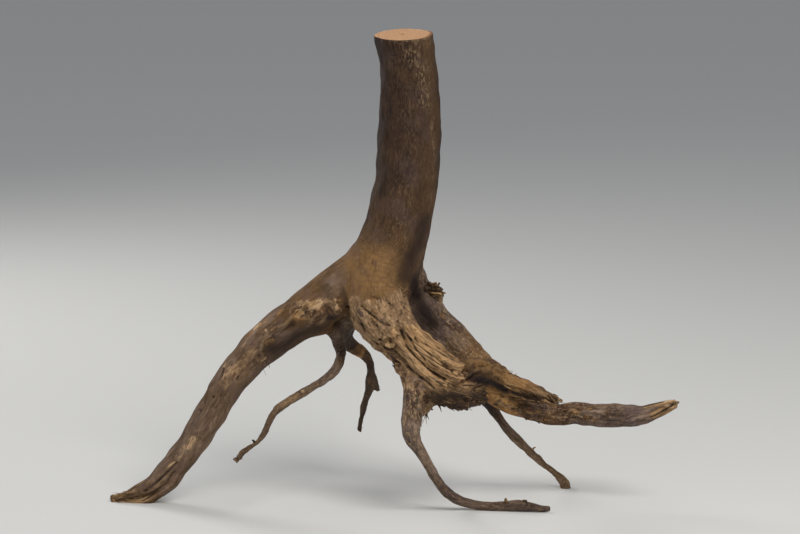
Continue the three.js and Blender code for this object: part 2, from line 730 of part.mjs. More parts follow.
const group = new THREE.Group();
group.add(dryRoot);
export default group;
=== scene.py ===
from math import cos, radians, sin

import bmesh
import bpy
import numpy as np
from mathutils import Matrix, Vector
from mathutils.bvhtree import BVHTree


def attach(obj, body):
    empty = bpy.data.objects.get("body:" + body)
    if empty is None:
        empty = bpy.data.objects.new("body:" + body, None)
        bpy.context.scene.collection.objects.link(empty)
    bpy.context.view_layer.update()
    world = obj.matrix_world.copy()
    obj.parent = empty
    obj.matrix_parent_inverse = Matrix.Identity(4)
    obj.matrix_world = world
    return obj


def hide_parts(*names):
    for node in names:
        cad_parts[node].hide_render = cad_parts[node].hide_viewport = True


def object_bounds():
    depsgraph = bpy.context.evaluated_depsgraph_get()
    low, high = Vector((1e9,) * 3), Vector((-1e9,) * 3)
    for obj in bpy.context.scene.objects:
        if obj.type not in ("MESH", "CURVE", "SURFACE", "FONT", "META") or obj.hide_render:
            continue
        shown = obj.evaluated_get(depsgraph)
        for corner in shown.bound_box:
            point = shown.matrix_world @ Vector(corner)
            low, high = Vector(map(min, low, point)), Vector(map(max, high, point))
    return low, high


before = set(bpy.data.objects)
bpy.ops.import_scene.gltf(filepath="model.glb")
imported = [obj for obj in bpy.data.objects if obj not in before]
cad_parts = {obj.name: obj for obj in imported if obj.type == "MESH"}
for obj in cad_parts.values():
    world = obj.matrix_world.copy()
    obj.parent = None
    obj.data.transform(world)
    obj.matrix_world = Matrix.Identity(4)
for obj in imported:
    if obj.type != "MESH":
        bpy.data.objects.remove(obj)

cad_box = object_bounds()

# Camera: a long lens, a little above the object and looking down on it by 9 degrees, as in the photograph.
CAMERA_TILT = 9
camera_data = bpy.data.cameras.new("camera")
camera_data.lens = 125
camera_data.sensor_width = 36
camera_data.clip_end = 60
camera = bpy.data.objects.new("camera", camera_data)
camera.location = (0.008, -2.46922, 0.60909)
camera.rotation_euler = (radians(90 - CAMERA_TILT), 0, 0)
bpy.context.collection.objects.link(camera)
bpy.context.scene.camera = camera

# Studio: a large soft lamp above and in front to the right, a weak one in front to the left, another behind to
# the left, and pale surroundings.
bpy.context.scene.view_settings.view_transform = "Standard"
LAMPS = {
    "key": {"place": (0.75, -1.25, 1.75), "size": 1.1, "power": 35, "colour": (1, 0.97, 0.92)},
    "fill": {"place": (-1.5, -1.4, 0.9), "size": 1.6, "power": 6, "colour": (0.93, 0.96, 1)},
    "rim": {"place": (-1.1, 1.2, 1.2), "size": 0.8, "power": 12, "colour": (1, 0.98, 0.95)},
}
for name, lamp in LAMPS.items():
    data = bpy.data.lights.new(name, "AREA")
    data.shape = "DISK"
    data.size = lamp["size"]
    data.energy = lamp["power"]
    data.color = lamp["colour"]
    light = bpy.data.objects.new(name, data)
    light.location = lamp["place"]
    light.rotation_euler = (Vector((0, 0, 0.2)) - light.location).to_track_quat("-Z", "Y").to_euler()
    bpy.context.collection.objects.link(light)
ceiling = bpy.data.lights.new("ceiling", "SUN")
ceiling.energy = 0.55
ceiling.angle = radians(70)
bpy.context.collection.objects.link(bpy.data.objects.new("ceiling", ceiling))
world = bpy.data.worlds.new("surroundings")
world.use_nodes = True
background = world.node_tree.nodes["Background"]
background.inputs["Color"].default_value = (0.86, 0.9, 1, 1)
background.inputs["Strength"].default_value = 0.2
bpy.context.scene.world = world

# Floor: a pale matt studio floor, which also fills the background.
FLOOR_HALF_WIDTH = 14
floor_mesh = bpy.data.meshes.new("floor")
floor_mesh.from_pydata(
    [(FLOOR_HALF_WIDTH * x, FLOOR_HALF_WIDTH * y, 0) for x, y in ((-1, -1), (1, -1), (1, 1), (-1, 1))],
    [],
    [(0, 1, 2, 3)],
)
floor_material = bpy.data.materials.new("floor")
floor_material.use_nodes = True
floor_shader = floor_material.node_tree.nodes["Principled BSDF"]
floor_shader.inputs["Base Color"].default_value = (0.62, 0.62, 0.6, 1)
floor_shader.inputs["Roughness"].default_value = 0.9
floor_mesh.materials.append(floor_material)
floor = bpy.data.objects.new("floor", floor_mesh)
bpy.context.collection.objects.link(floor)

# The wood itself: one grown piece, sawn off above and dug out of the ground. Its bark has worn thin on the
# stem, flaked on the roots and gone from the twisted front root. It replaces the CAD solid, whose surface is
# made even and fine, and then wrinkled, split and scarred along the grain of each root.
SPACING = 0.0011  # of the fine surface that is shaped
TRIANGLES = 190000  # after thinning
EVENING = (0.6, -0.62) * 5  # each pass pulls the surface in or lets it out, so that it doesn't shrink
SAW_POINT = Vector((0.010, -0.005, 0.4275))
SAW_NORMAL = Vector((-0.03, -0.13, 1)).normalized()
TRIM = 0.004  # the flats are made this much too long, and then cut back to the plane
ON_FLAT = 5e-5  # a point this near to the plane of a flat lies on it
COURSE_STEP = 0.004  # between points down the middle of a root
MELT = 0.0025  # over which the grain of one root passes into that of the next
OWN_REACH, EVEN_REACH = 0.2, 0.8  # shares of a point's own and of the root's mean distance from the middle
RAGGED_ENDS = ((0.012, 0.010, 0), (0.008, 0.004, 0.7))  # of the coats: how far, size of a lobe, shift
HOLLOW_ROUNDS = 14  # of averaging: hollows wider than this reaches don't count as hollows
HOLLOW_DEPTH = 0.0003  # of a full hollow

# The course of each root, as (x, y, z, radius) down its middle, in metres. begins: where its grain starts, in
# metres from the top, so that the grain runs on from the root it grows from. turn: how far the grain turns
# round in a metre, in degrees. coat: what covers it, as (metres along, amount) for each kind.
ROOTS = {
    "stem": {
        "line": [
            (0.01, -0.006, 0.452, 0.0256), (0.0155, 0.001, 0.395, 0.0252), (0.0165, 0.006, 0.346, 0.0282),
            (0.014, 0.005, 0.296, 0.0282), (0.0035, 0.003, 0.244, 0.0284), (-0.01, 0.0, 0.197, 0.026),
            (-0.015, 0.0, 0.18, 0.018),
        ],
        "begins": 0,
        "turn": 60,
        "coat": {"dust": [(0.12, 0), (0.24, 0.3)],
                 "dark": [(0.03, 0.52), (0.1, 0.66), (0.15, 0.6), (0.19, 0.46), (0.24, 0.15)]},
    },
    "left_root": {
        "line": [
            (0.004, 0.004, 0.253, 0.014), (-0.033, -0.005, 0.21, 0.0206), (-0.082, -0.01, 0.1735, 0.019),
            (-0.1305, -0.012, 0.1345, 0.0158), (-0.161, -0.007, 0.0885, 0.014),
            (-0.19, -0.001, 0.044, 0.0124), (-0.222, 0.004, 0.011, 0.0106), (-0.252, 0.004, 0.0038, 0.0055),
            (-0.265, 0.004, 0.0065, 0.0028),
        ],
        "begins": 0.2,
        "turn": 250,
        "coat": {"dust": [(0.03, 0.5), (0.15, 0.3)],
                 "grey": [(0.1, 0.1), (0.16, 0.7), (0.3, 0.8), (0.36, 0.35)],
                 "bare": [(0.3, 0), (0.37, 0.9)], "scuff": [(0.33, 0), (0.38, 0.8)]},
    },
    "front_root": {
        "line": [
            (-0.002, -0.004, 0.237, 0.017), (-0.012, -0.02, 0.195, 0.0245), (0.005, -0.033, 0.162, 0.0205),
            (0.031, -0.04, 0.136, 0.0205), (0.057, -0.038, 0.1235, 0.0175), (0.081, -0.018, 0.126, 0.011),
            (0.092, -0.006, 0.1215, 0.009),
        ],
        "begins": 0.2,
        "turn": 300,
        "coat": {"dust": [(0.02, 0.9), (0.05, 0.7), (0.08, 0.3), (0.1, 0)],
                 "crust": [(0.04, 0), (0.062, 0.9), (0.078, 0.9), (0.094, 0)],
                 "bare": [(0.06, 0), (0.09, 1), (0.14, 1), (0.165, 0)],
                 "scuff": [(0.05, 0), (0.07, 0.4), (0.1, 0)]},
    },
    "torn_strand": {
        "line": [
            (0.033, -0.041, 0.129, 0.015), (0.057, -0.044, 0.112, 0.0125), (0.08, -0.039, 0.107, 0.0065),
            (0.092, -0.036, 0.1055, 0.005),
        ],
        "begins": 0.29,
        "turn": 300,
        "coat": {"bare": [(0, 1)], "crust": [(0.01, 0.1), (0.05, 0.9)], "dark": [(0.02, 0), (0.05, 0.85)]},
    },
    "back_root": {
        "line": [
            (0.01, 0.008, 0.233, 0.014), (0.019, 0.025, 0.194, 0.017), (0.04, 0.03, 0.1605, 0.0174),
            (0.0595, 0.024, 0.1405, 0.0166), (0.08, 0.01, 0.1225, 0.0142), (0.102, -0.004, 0.114, 0.009),
            (0.134, -0.014, 0.1035, 0.0073), (0.155, -0.02, 0.095, 0.0046),
        ],
        "begins": 0.2,
        "turn": 200,
        "coat": {"grey": [(0.02, 0.5), (0.05, 1.1), (0.12, 0.6), (0.14, 0)], "rust": [(0.13, 0), (0.16, 0.8)],
                 "scuff": [(0.02, 0.5), (0.1, 0.5), (0.13, 0.7), (0.2, 0.6)],
                 "bare": [(0.18, 0), (0.21, 0.6)], "dust": [(0.1, 0), (0.14, 0.6), (0.2, 0.4)]},
    },
    "right_root": {
        "line": [
            (0.068, 0.018, 0.137, 0.01), (0.089, 0.004, 0.104, 0.01), (0.114, 0.007, 0.0895, 0.009),
            (0.141, 0.013, 0.081, 0.009), (0.17, 0.014, 0.08, 0.01), (0.21, 0.004, 0.0805, 0.0104),
            (0.239, -0.01, 0.088, 0.007), (0.262, -0.02, 0.0995, 0.0038),
        ],
        "begins": 0.32,
        "turn": 250,
        "coat": {"rust": [(0.03, 0.7), (0.07, 0.6), (0.1, 0.25)], "grey": [(0.1, 0), (0.15, 0.9), (0.2, 0.6)],
                 "scuff": [(0.02, 0.3), (0.12, 0.5), (0.2, 0.1)],
                 "pale": [(0.208, 0), (0.218, 0.45)], "bare": [(0.19, 0), (0.205, 0.8)]},
    },
    "front_leg": {
        "line": [
            (0.029, -0.042, 0.139, 0.0105), (0.02, -0.055, 0.113, 0.0092), (0.018, -0.058, 0.086, 0.0087),
            (0.025, -0.05, 0.0615, 0.0056), (0.0405, -0.04, 0.032, 0.0042), (0.0585, -0.03, 0.0115, 0.0045),
            (0.087, -0.027, 0.0038, 0.0041), (0.115, -0.031, 0.0058, 0.005), (0.15, -0.035, 0.0026, 0.0028),
        ],
        "begins": 0.27,
        "turn": 300,
        "coat": {"grey": [(0.02, 0.9), (0.1, 0.9)], "scuff": [(0.02, 0.8), (0.06, 0.7), (0.12, 0.5)],
                 "dark": [(0.09, 0), (0.12, 0.25), (0.2, 0.3)]},
    },
    "back_leg": {
        "line": [
            (0.075, 0.01, 0.114, 0.0095), (0.09, 0.028, 0.086, 0.005), (0.106, 0.039, 0.062, 0.0039),
            (0.125, 0.048, 0.04, 0.0039), (0.147, 0.055, 0.0195, 0.0028), (0.161, 0.058, 0.005, 0.0044),
            (0.172, 0.06, -0.01, 0.0034),
        ],
        "begins": 0.34,
        "turn": 300,
        "coat": {"dark": [(0.02, 1.1), (0.045, 0.7), (0.07, 0.1)], "dust": [(0.06, 0.1), (0.1, 0.4)],
                 "grey": [(0.04, 0.3), (0.08, 0.8)], "scuff": [(0.06, 0.2), (0.09, 0.6)],
                 "crust": [(0.12, 0), (0.17, 0.5)]},
    },
    "left_twig": {
        "line": [
            (-0.035, 0.006, 0.179, 0.0108), (-0.047, 0.006, 0.148, 0.0058), (-0.047, -0.006, 0.131, 0.0046),
            (-0.066, -0.026, 0.116, 0.004), (-0.092, -0.049, 0.103, 0.0033), (-0.107, -0.063, 0.09, 0.0038),
            (-0.1225, -0.075, 0.071, 0.0032), (-0.138, -0.082, 0.054, 0.0016),
        ],
        "begins": 0.26,
        "turn": 300,
        "coat": {"grey": [(0.03, 0.9), (0.06, 0.8)], "scuff": [(0.02, 0.5), (0.06, 0.6), (0.12, 0.8)],
                 "dark": [(0.02, 0.5), (0.05, 0.35), (0.12, 0.4), (0.15, 0.7)],
                 "crust": [(0.04, 0.2), (0.1, 0.5), (0.15, 0.9)]},
    },
    "back_twig": {
        "line": [
            (-0.041, 0.022, 0.168, 0.0118), (-0.037, 0.044, 0.138, 0.0068), (-0.0205, 0.06, 0.121, 0.0042),
            (-0.019, 0.07, 0.0955, 0.0032), (-0.0265, 0.077, 0.0685, 0.0028),
            (-0.031, 0.082, 0.042, 0.0024),
        ],
        "begins": 0.27,
        "turn": 300,
        "coat": {"rust": [(0.02, 0), (0.045, 0.9), (0.065, 0)], "grey": [(0.06, 0), (0.08, 0.8)],
                 "dark": [(0.01, 0.7), (0.035, 0.6), (0.048, 0.1), (0.07, 0.75)],
                 "scuff": [(0.03, 0.4), (0.1, 0.3)],
                 "crust": [(0.06, 0), (0.09, 0.5)]},
    },
}

# Courses on the surface, in metres, that more than one of the tables below uses.
# Round the dead knot of the front root
KNOT_RIM = [(-0.0066, -0.052, 0.1603), (-0.0052, -0.053, 0.164), (-0.0017, -0.0537, 0.1653),
            (0.0018, -0.0535, 0.164), (0.0033, -0.053, 0.1603), (0.0018, -0.052, 0.1566),
            (-0.0017, -0.0515, 0.1553), (-0.0052, -0.0518, 0.1566), (-0.0066, -0.052, 0.1603)]
# Down the front root, and at its upper left edge
SHARP_RIDGE = [(0.0071, -0.0549, 0.1591), (0.0213, -0.0589, 0.1406), (0.0301, -0.0613, 0.1321),
               (0.0411, -0.0616, 0.1258), (0.05, -0.0592, 0.1226)]
UPPER_LOBE = [(-0.0297, -0.0387, 0.1855), (-0.0186, -0.0489, 0.1715)]
# Up the left foot
FOOT_SPLIT = [(-0.1939, -0.0136, 0.0405), (-0.1994, -0.0128, 0.0348), (-0.205, -0.0113, 0.0298),
              (-0.2144, -0.0092, 0.0209), (-0.2238, -0.0069, 0.0129)]
# On the shoulder of the left root, and on its bend
TORN_SCAR = [(-0.0839, -0.0258, 0.1868), (-0.074, -0.0304, 0.1822), (-0.0652, -0.0277, 0.1745)]
CRUSTY_BEND = [(-0.15, -0.021, 0.116), (-0.136, -0.024, 0.132), (-0.124, -0.027, 0.146)]
# Along the front of the right root
SCALY_STRETCH = [(0.148, 0.006, 0.09), (0.16, 0.006, 0.088), (0.172, 0.004, 0.079), (0.185, 0.001, 0.077)]
# Where the left root leaves the collar, and the end of the broken branch on the back root
COLLAR_SIDE = [(-0.046, -0.024, 0.214), (-0.056, -0.027, 0.2)]
STUMP_END = [(0.0389, 0.0201, 0.1985), (0.047, 0.024, 0.1879)]

# Places that differ from the coat of their root: kind, amount, half width, and the line down their middle.
PATCHES = [
    # Dusty collar where the front root swells out of the stem
    ("dust", 0.9, 0.016, [(-0.034, -0.022, 0.222), (-0.022, -0.036, 0.206)]),
    ("grey", 0.9, 0.012, COLLAR_SIDE),
    ("dark", 0.3, 0.012, COLLAR_SIDE),
    # Chafed flecks down the right of the stem, under the saw cut, partly painted glints on its lit side
    ("scuff", 0.9, 0.008, [(0.014, -0.029, 0.425), (0.034, -0.02, 0.426)]),
    ("scuff", 1.2, 0.008, [(0.018, -0.0265, 0.412), (0.028, -0.021, 0.396), (0.03, -0.018, 0.366)]),
    ("scuff", 0.35, 0.016, [(0.01, -0.028, 0.4), (0.02, -0.022, 0.34), (0.006, -0.026, 0.25)]),
    ("scuff", 0.5, 0.003, [(0.036, -0.014, 0.37), (0.04, -0.01, 0.33), (0.04, -0.01, 0.3)]),
    ("crust", 0.5, 0.005, [(0.036, -0.012, 0.35), (0.039, -0.012, 0.315), (0.038, -0.012, 0.28)]),
    ("dust", 0.5, 0.012, [(0.034, -0.018, 0.42), (0.04, -0.012, 0.35), (0.036, -0.012, 0.28)]),
    # Darker left of the stem: its dark bark, and painted shade on the side away from the light
    ("dark", 0.9, 0.016, [(-0.015, -0.014, 0.42), (-0.01, -0.02, 0.35), (-0.012, -0.02, 0.29)]),
    # Painted shadow on the lower right of the stem, above the gap between the front and back roots
    ("dark", 0.85, 0.014, [(0.03, -0.014, 0.262), (0.022, -0.018, 0.236), (0.014, -0.026, 0.214)]),
    # Torn scar on the shoulder of the left root
    ("crust", 1.0, 0.009, TORN_SCAR),
    ("raw", 1.1, 0.0055, [(-0.084, -0.0285, 0.182), (-0.074, -0.0304, 0.186), (-0.068, -0.03, 0.188)]),
    ("rust", 0.9, 0.0045, [(-0.084, -0.0305, 0.178), (-0.068, -0.0304, 0.177)]),
    ("raw", 0.7, 0.003, [(-0.0838, -0.0312, 0.1778), (-0.074, -0.031, 0.1765)]),
    ("pale", 0.62, 0.0046, [(-0.0812, -0.0288, 0.1855), (-0.0704, -0.0314, 0.1842),
                            (-0.0615, -0.0296, 0.1929)]),
    # Edge of the bark on the left root over the smooth wood below, with a painted highlight along it and paler
    # peeled spots
    ("pale", 0.7, 0.0028, [(-0.1117, -0.027, 0.165), (-0.111, -0.029, 0.162)]),
    ("pale", 0.6, 0.0014, [(-0.1105, -0.029, 0.164), (-0.1036, -0.0292, 0.1668), (-0.0946, -0.0304, 0.1705),
                           (-0.0883, -0.0307, 0.1768)]),
    ("pale", 0.75, 0.002, [(-0.1155, -0.0287, 0.1385), (-0.112, -0.0285, 0.1395)]),
    ("scuff", 1.0, 0.003, [(-0.116, -0.0295, 0.144), (-0.1165, -0.0298, 0.15), (-0.112, -0.0295, 0.16)]),
    ("pale", 0.7, 0.0024, [(-0.123, -0.018, 0.165), (-0.1175, -0.018, 0.169)]),
    ("pale", 0.65, 0.0028, [(-0.151, -0.0226, 0.1207), (-0.1471, -0.0249, 0.1257),
                            (-0.144, -0.0243, 0.131)]),
    # Pale chafed place, dark split and worn edges of the left foot
    ("scuff", 1.0, 0.0048, [(-0.1855, -0.0143, 0.0535), (-0.1817, -0.0156, 0.0595),
                            (-0.1785, -0.0166, 0.0655)]),
    ("pale", 0.56, 0.0052, [(-0.1845, -0.0147, 0.055), (-0.1795, -0.0163, 0.0635)]),
    ("dark", 0.75, 0.0012, FOOT_SPLIT),
    ("pale", 0.6, 0.0014, [(-0.212, -0.011, 0.029), (-0.196, -0.013, 0.042)]),
    ("pale", 0.6, 0.0016, [(-0.256, -0.001, 0.01), (-0.236, -0.006, 0.0125), (-0.225, -0.008, 0.015)]),
    # Rusty and grey bark about that edge, painted shade on the underside of the root below it, and worn bark
    # farther down
    ("rust", 0.5, 0.008, [(-0.136, -0.02, 0.143), (-0.122, -0.025, 0.153)]),
    ("grey", 1.0, 0.009, [(-0.112, -0.024, 0.143), (-0.098, -0.026, 0.158), (-0.075, -0.024, 0.164)]),
    ("dark", 0.9, 0.012, [(-0.106, -0.026, 0.148), (-0.087, -0.026, 0.158), (-0.065, -0.024, 0.164)]),
    ("rust", 0.45, 0.007, [(-0.13, -0.017, 0.16), (-0.112, -0.022, 0.173), (-0.094, -0.022, 0.187)]),
    ("scuff", 0.8, 0.004, [(-0.1229, -0.0184, 0.1647), (-0.1129, -0.0201, 0.1713)]),
    ("scuff", 0.9, 0.005, [(-0.152, -0.016, 0.135), (-0.14, -0.025, 0.121)]),
    ("crust", 0.7, 0.007, CRUSTY_BEND),
    ("scuff", 1.0, 0.005, [(-0.192, -0.013, 0.048), (-0.183, -0.016, 0.058), (-0.175, -0.018, 0.07)]),
    # Folds of bark over the fork, and painted shade under them in the crotch
    ("pale", 0.6, 0.0026, [(-0.0498, -0.032, 0.1942), (-0.0473, -0.0299, 0.1839)]),
    ("crust", 0.8, 0.005, [(-0.056, -0.028, 0.192), (-0.047, -0.03, 0.182), (-0.039, -0.026, 0.18)]),
    ("dark", 1.0, 0.006, [(-0.058, -0.022, 0.178), (-0.046, -0.022, 0.172), (-0.036, -0.024, 0.164)]),
    # Pale and purple patches, sharp ridge and dead knot of the front root
    ("pale", 0.6, 0.0032, [(-0.0208, -0.0466, 0.1936)]),
    ("scuff", 0.8, 0.0035, UPPER_LOBE),
    ("grey", 1.0, 0.0045, [(-0.004, -0.052, 0.1795), (0.004, -0.0502, 0.177)]),
    ("scuff", 0.8, 0.0036, SHARP_RIDGE),
    ("rust", 0.8, 0.004, [(-0.0075, -0.05, 0.17), (0.001, -0.052, 0.17), (0.008, -0.05, 0.167)]),
    ("scuff", 1.0, 0.0022, KNOT_RIM),
    ("dark", 1.4, 0.0022, [(-0.0017, -0.0537, 0.1603)]),
    ("crust", 1.0, 0.01, [(-0.008, -0.046, 0.146), (0.006, -0.05, 0.13), (0.02, -0.056, 0.118),
                          (0.034, -0.058, 0.106), (0.052, -0.056, 0.102)]),
    ("crust", 1.0, 0.006, [(0.058, -0.058, 0.111), (0.07, -0.054, 0.109), (0.082, -0.04, 0.109)]),
    ("dark", 0.93, 0.009, [(0.038, -0.06, 0.109), (0.052, -0.061, 0.112), (0.075, -0.05, 0.109),
                           (0.086, -0.044, 0.106)]),
    ("dark", 0.93, 0.008, [(0.044, -0.054, 0.102), (0.062, -0.05, 0.101), (0.084, -0.036, 0.106)]),
    ("grey", 1.0, 0.006, [(0.001, -0.052, 0.15), (0.02, -0.058, 0.134), (0.035, -0.061, 0.119)]),
    ("scuff", 0.5, 0.009, [(0.001, -0.052, 0.146), (0.02, -0.058, 0.128), (0.035, -0.061, 0.115)]),
    # Dusty joint of the front and back roots, the painted shadow in the gap under it, and a dark streak below
    # the knot
    ("dust", 0.9, 0.009, [(0.07, -0.036, 0.14), (0.084, -0.027, 0.133), (0.097, -0.014, 0.124),
                          (0.112, -0.014, 0.117)]),
    ("dark", 1.3, 0.0048, [(0.073, -0.047, 0.1262), (0.0793, -0.0388, 0.1222), (0.0889, -0.0209, 0.1158),
                           (0.1027, -0.0122, 0.1076)]),
    ("dark", 0.6, 0.004, [(0.0009, -0.0507, 0.1525), (0.0009, -0.0488, 0.1404)]),
    # Broken branch stump on the back root, and the chafed strip under it
    ("crust", 1.0, 0.008, STUMP_END),
    ("raw", 0.7, 0.004, STUMP_END),
    ("scuff", 1.4, 0.005, [(0.043, 0.02, 0.181), (0.049, 0.02, 0.172), (0.056, 0.015, 0.161)]),
    ("pale", 0.45, 0.003, [(0.043, 0.021, 0.181), (0.05, 0.02, 0.1715)]),
    ("grey", 1.2, 0.012, [(0.038, 0.01, 0.18), (0.062, 0.008, 0.15)]),
    # Painted shadow of the stem on the back root, between the front and back roots
    ("dark", 1.2, 0.013, [(0.016, -0.006, 0.208), (0.026, 0.004, 0.188), (0.036, 0.006, 0.166)]),
    ("dark", 0.8, 0.009, [(0.01, -0.01, 0.186), (0.024, 0.0, 0.168)]),
    # Rusty scales of the right root
    ("crust", 0.6, 0.005, [(0.0985, -0.0059, 0.095), (0.1122, -0.003, 0.0885), (0.126, 0.0012, 0.083)]),
    ("crust", 0.6, 0.005, SCALY_STRETCH),
    ("raw", 0.6, 0.003, [(0.1122, -0.003, 0.0885), (0.126, 0.0012, 0.083)]),
    # Painted shadow along the split under the back root's stub
    ("dark", 1.3, 0.003, [(0.092, -0.015, 0.112), (0.104, -0.015, 0.1075), (0.122, -0.015, 0.101),
                          (0.14, -0.017, 0.0955)]),
    # Broken end of the back root's stub
    ("raw", 0.9, 0.005, [(0.144, -0.02, 0.104), (0.153, -0.019, 0.1)]),
    # Nick on the left twig
    ("pale", 1.0, 0.002, [(-0.079, -0.04, 0.112)]),
]

# Single ridges and clefts that the wrinkles don't give: height, half width, and the line down their middle.
MARKS = [
    # The two long clefts of the bare front root, the sharp ridge beside them and the finer splits above
    (-0.002, 0.001, [(0.0089, -0.0499, 0.1686), (0.0146, -0.0518, 0.1554), (0.0213, -0.0571, 0.1474),
                     (0.0301, -0.0606, 0.1391), (0.0389, -0.0593, 0.1317), (0.0478, -0.0594, 0.1272)]),
    (-0.0018, 0.0009, [(0.0133, -0.0512, 0.1661), (0.0213, -0.0547, 0.1533), (0.0301, -0.059, 0.1442)]),
    (0.0024, 0.0026, SHARP_RIDGE),
    (-0.0016, 0.001, [(0.0213, -0.0482, 0.1624), (0.0389, -0.0571, 0.1447), (0.0487, -0.0553, 0.1372),
                      (0.0584, -0.0567, 0.1293)]),
    (-0.0014, 0.0009, [(0.0142, -0.0511, 0.1697), (0.031, -0.0491, 0.1567), (0.0461, -0.0543, 0.1406),
                       (0.0549, -0.054, 0.1333)]),
    (-0.0012, 0.0008, [(0.0213, -0.045, 0.1695), (0.0418, -0.0418, 0.1526), (0.0558, -0.0538, 0.1396),
                       (0.063, -0.0486, 0.1314)]),
    (-0.0018, 0.0012, [(0.0013, -0.0493, 0.1423), (0.0146, -0.0546, 0.1379), (0.0265, -0.0612, 0.1289),
                       (0.038, -0.0632, 0.1189)]),
    # Creases and lobes of the swelling above them
    (-0.0017, 0.0013, [(-0.0265, -0.0455, 0.1902), (-0.0163, -0.0501, 0.1821), (-0.0088, -0.0541, 0.177),
                       (-0.0017, -0.0539, 0.1747)]),
    (-0.0012, 0.0016, [(-0.0186, -0.0449, 0.1982), (-0.0088, -0.0455, 0.1965), (0.0009, -0.0449, 0.191)]),
    (0.0022, 0.0034, [(-0.0208, -0.0466, 0.1936), (-0.014, -0.049, 0.189)]),
    (0.0018, 0.003, UPPER_LOBE),
    (0.0022, 0.003, [(-0.003, -0.052, 0.18), (0.0035, -0.0502, 0.1775)]),
    (-0.0026, 0.0016, [(-0.0389, -0.0242, 0.1852), (-0.0253, -0.0413, 0.1715), (-0.0124, -0.0473, 0.1555)]),
    # Ledge where the bark of the left root ends
    (0.002, 0.0022, [(-0.1145, -0.0285, 0.14), (-0.1171, -0.0294, 0.1458), (-0.115, -0.0303, 0.1524),
                     (-0.1105, -0.029, 0.1625)]),
    (0.0015, 0.0018, [(-0.1105, -0.029, 0.1635), (-0.1036, -0.0292, 0.1672), (-0.0946, -0.0304, 0.171),
                      (-0.0883, -0.0307, 0.1775)]),
    (-0.0013, 0.0026, [(-0.111, -0.03, 0.154), (-0.105, -0.03, 0.161), (-0.095, -0.0305, 0.1655),
                       (-0.087, -0.0305, 0.17)]),
    # A pit, the split of the foot and another pit, farther down the left root
    (-0.0012, 0.0012, [(-0.1724, -0.0146, 0.0897)]),
    (-0.0016, 0.001, FOOT_SPLIT),
    (-0.0014, 0.0014, [(-0.1601, -0.0211, 0.103)]),
    # Rim and hollow of the dead knot
    (0.0034, 0.0016, KNOT_RIM),
    (-0.0022, 0.0014, [(-0.0095, -0.05, 0.1603), (-0.0075, -0.0515, 0.156), (-0.0017, -0.05, 0.1525),
                       (0.0042, -0.05, 0.1545), (0.0062, -0.052, 0.16)]),
    (-0.005, 0.0019, [(-0.0017, -0.0537, 0.1603)]),
    # Notch between the two prongs of the left foot
    (-0.004, 0.0013, [(-0.262, -0.004, 0.0068), (-0.25, -0.007, 0.0072), (-0.236, -0.009, 0.009)]),
    # Dark gap between the front root's end and the back root
    (-0.0014, 0.0022, [(0.074, -0.045, 0.1245), (0.0793, -0.0388, 0.1222), (0.0889, -0.0209, 0.1158),
                       (0.1027, -0.0122, 0.1076)]),
    # Fine split in the stub of the back root
    (-0.0016, 0.0009, [(0.1072, -0.0113, 0.118), (0.125, -0.0159, 0.111), (0.1385, -0.0171, 0.1045)]),
]

# Kinds of coat: bare wood, soil dust, freshly torn wood, pale peeled spots and painted highlights, grey bark,
# rusty bark, chafed flecks that are partly painted glints, dark bark and painted shade, and crumbling crust
COATS = ("bare", "dust", "raw", "pale", "grey", "rust", "scuff", "dark", "crust")

# Layers of the relief. Bumps: height, and size of a cell down the grain and across it, in metres. Creases: the
# same, and how sharp they are.
SWELLING = (0.0004, (0.020, 0.009, 0.009))
UNEVENNESS = (0.0003, 0.007)
BARK_WRINKLES = (-0.0005, (0.024, 0.0050, 0.0050), 4)
BARK_PLATES = (0.0005, (0.009, 0.0035, 0.0035))
WOOD_FISSURES = (-0.0011, (0.150, 0.0085, 0.0085), 14)
FINE_FISSURES = (-0.0006, (0.100, 0.0044, 0.0044), 6)
WOOD_FIBRES = (0.0007, (0.090, 0.0036, 0.0036))
CRUST_LUMPS = (0.0036, (0.015, 0.0085, 0.0085))
CRUST_CRUMBS = (0.0007, 0.0028)
CRUST_CRACKS = (-0.0013, (0.022, 0.0100, 0.0100), 9)
TORN_SHREDS = (0.0016, (0.0120, 0.0036, 0.0036))
TORN_CRUMBS = (0.0014, 0.0026)

# How far the grain of bark and of bare wood wanders, over what distance, and the shifts of its directions
BARK_WANDER = (0.004, 0.02, (0, 1, 2))
WOOD_WANDER = (0.0016, 0.03, (3, 4, 5))

LATTICE_SIZE = 32
LATTICE = np.random.default_rng(11).random((LATTICE_SIZE, LATTICE_SIZE, LATTICE_SIZE))


def uneven(points, size):
    """Smooth noise from 0 to 1 at the points, with cells of the given size along each axis."""
    scaled = points / np.asarray(size)
    cell = np.floor(scaled).astype(int)
    part = scaled - cell
    part = part * part * (3 - 2 * part)
    total = np.zeros(len(points))
    for corner in range(8):
        step = np.array([corner & 1, corner >> 1 & 1, corner >> 2 & 1])
        weight = np.prod(np.where(step == 1, part, 1 - part), axis=1)
        i, j, k = ((cell + step) % LATTICE_SIZE).T
        total += weight * LATTICE[i, j, k]
    return total


def crease(points, size, sharpness):
    """1 along wandering lines between the cells of the noise, and 0 away from them."""
    return (1 - abs(2 * uneven(points, size) - 1)) ** sharpness


def bumps(points, height, size):
    """Swells and hollows of the given height and size at the points."""
    return height * (uneven(points, size) - 0.5)


def creases(points, height, size, sharpness):
    """Creases of the given height at the points."""
    return height * crease(points, size, sharpness)


def wander(points, far, size, shifts):
    """An offset for each point that changes slowly, so that a pattern laid out with it wanders."""
    return far * np.stack([uneven(points + shift, size) for shift in shifts], axis=1)


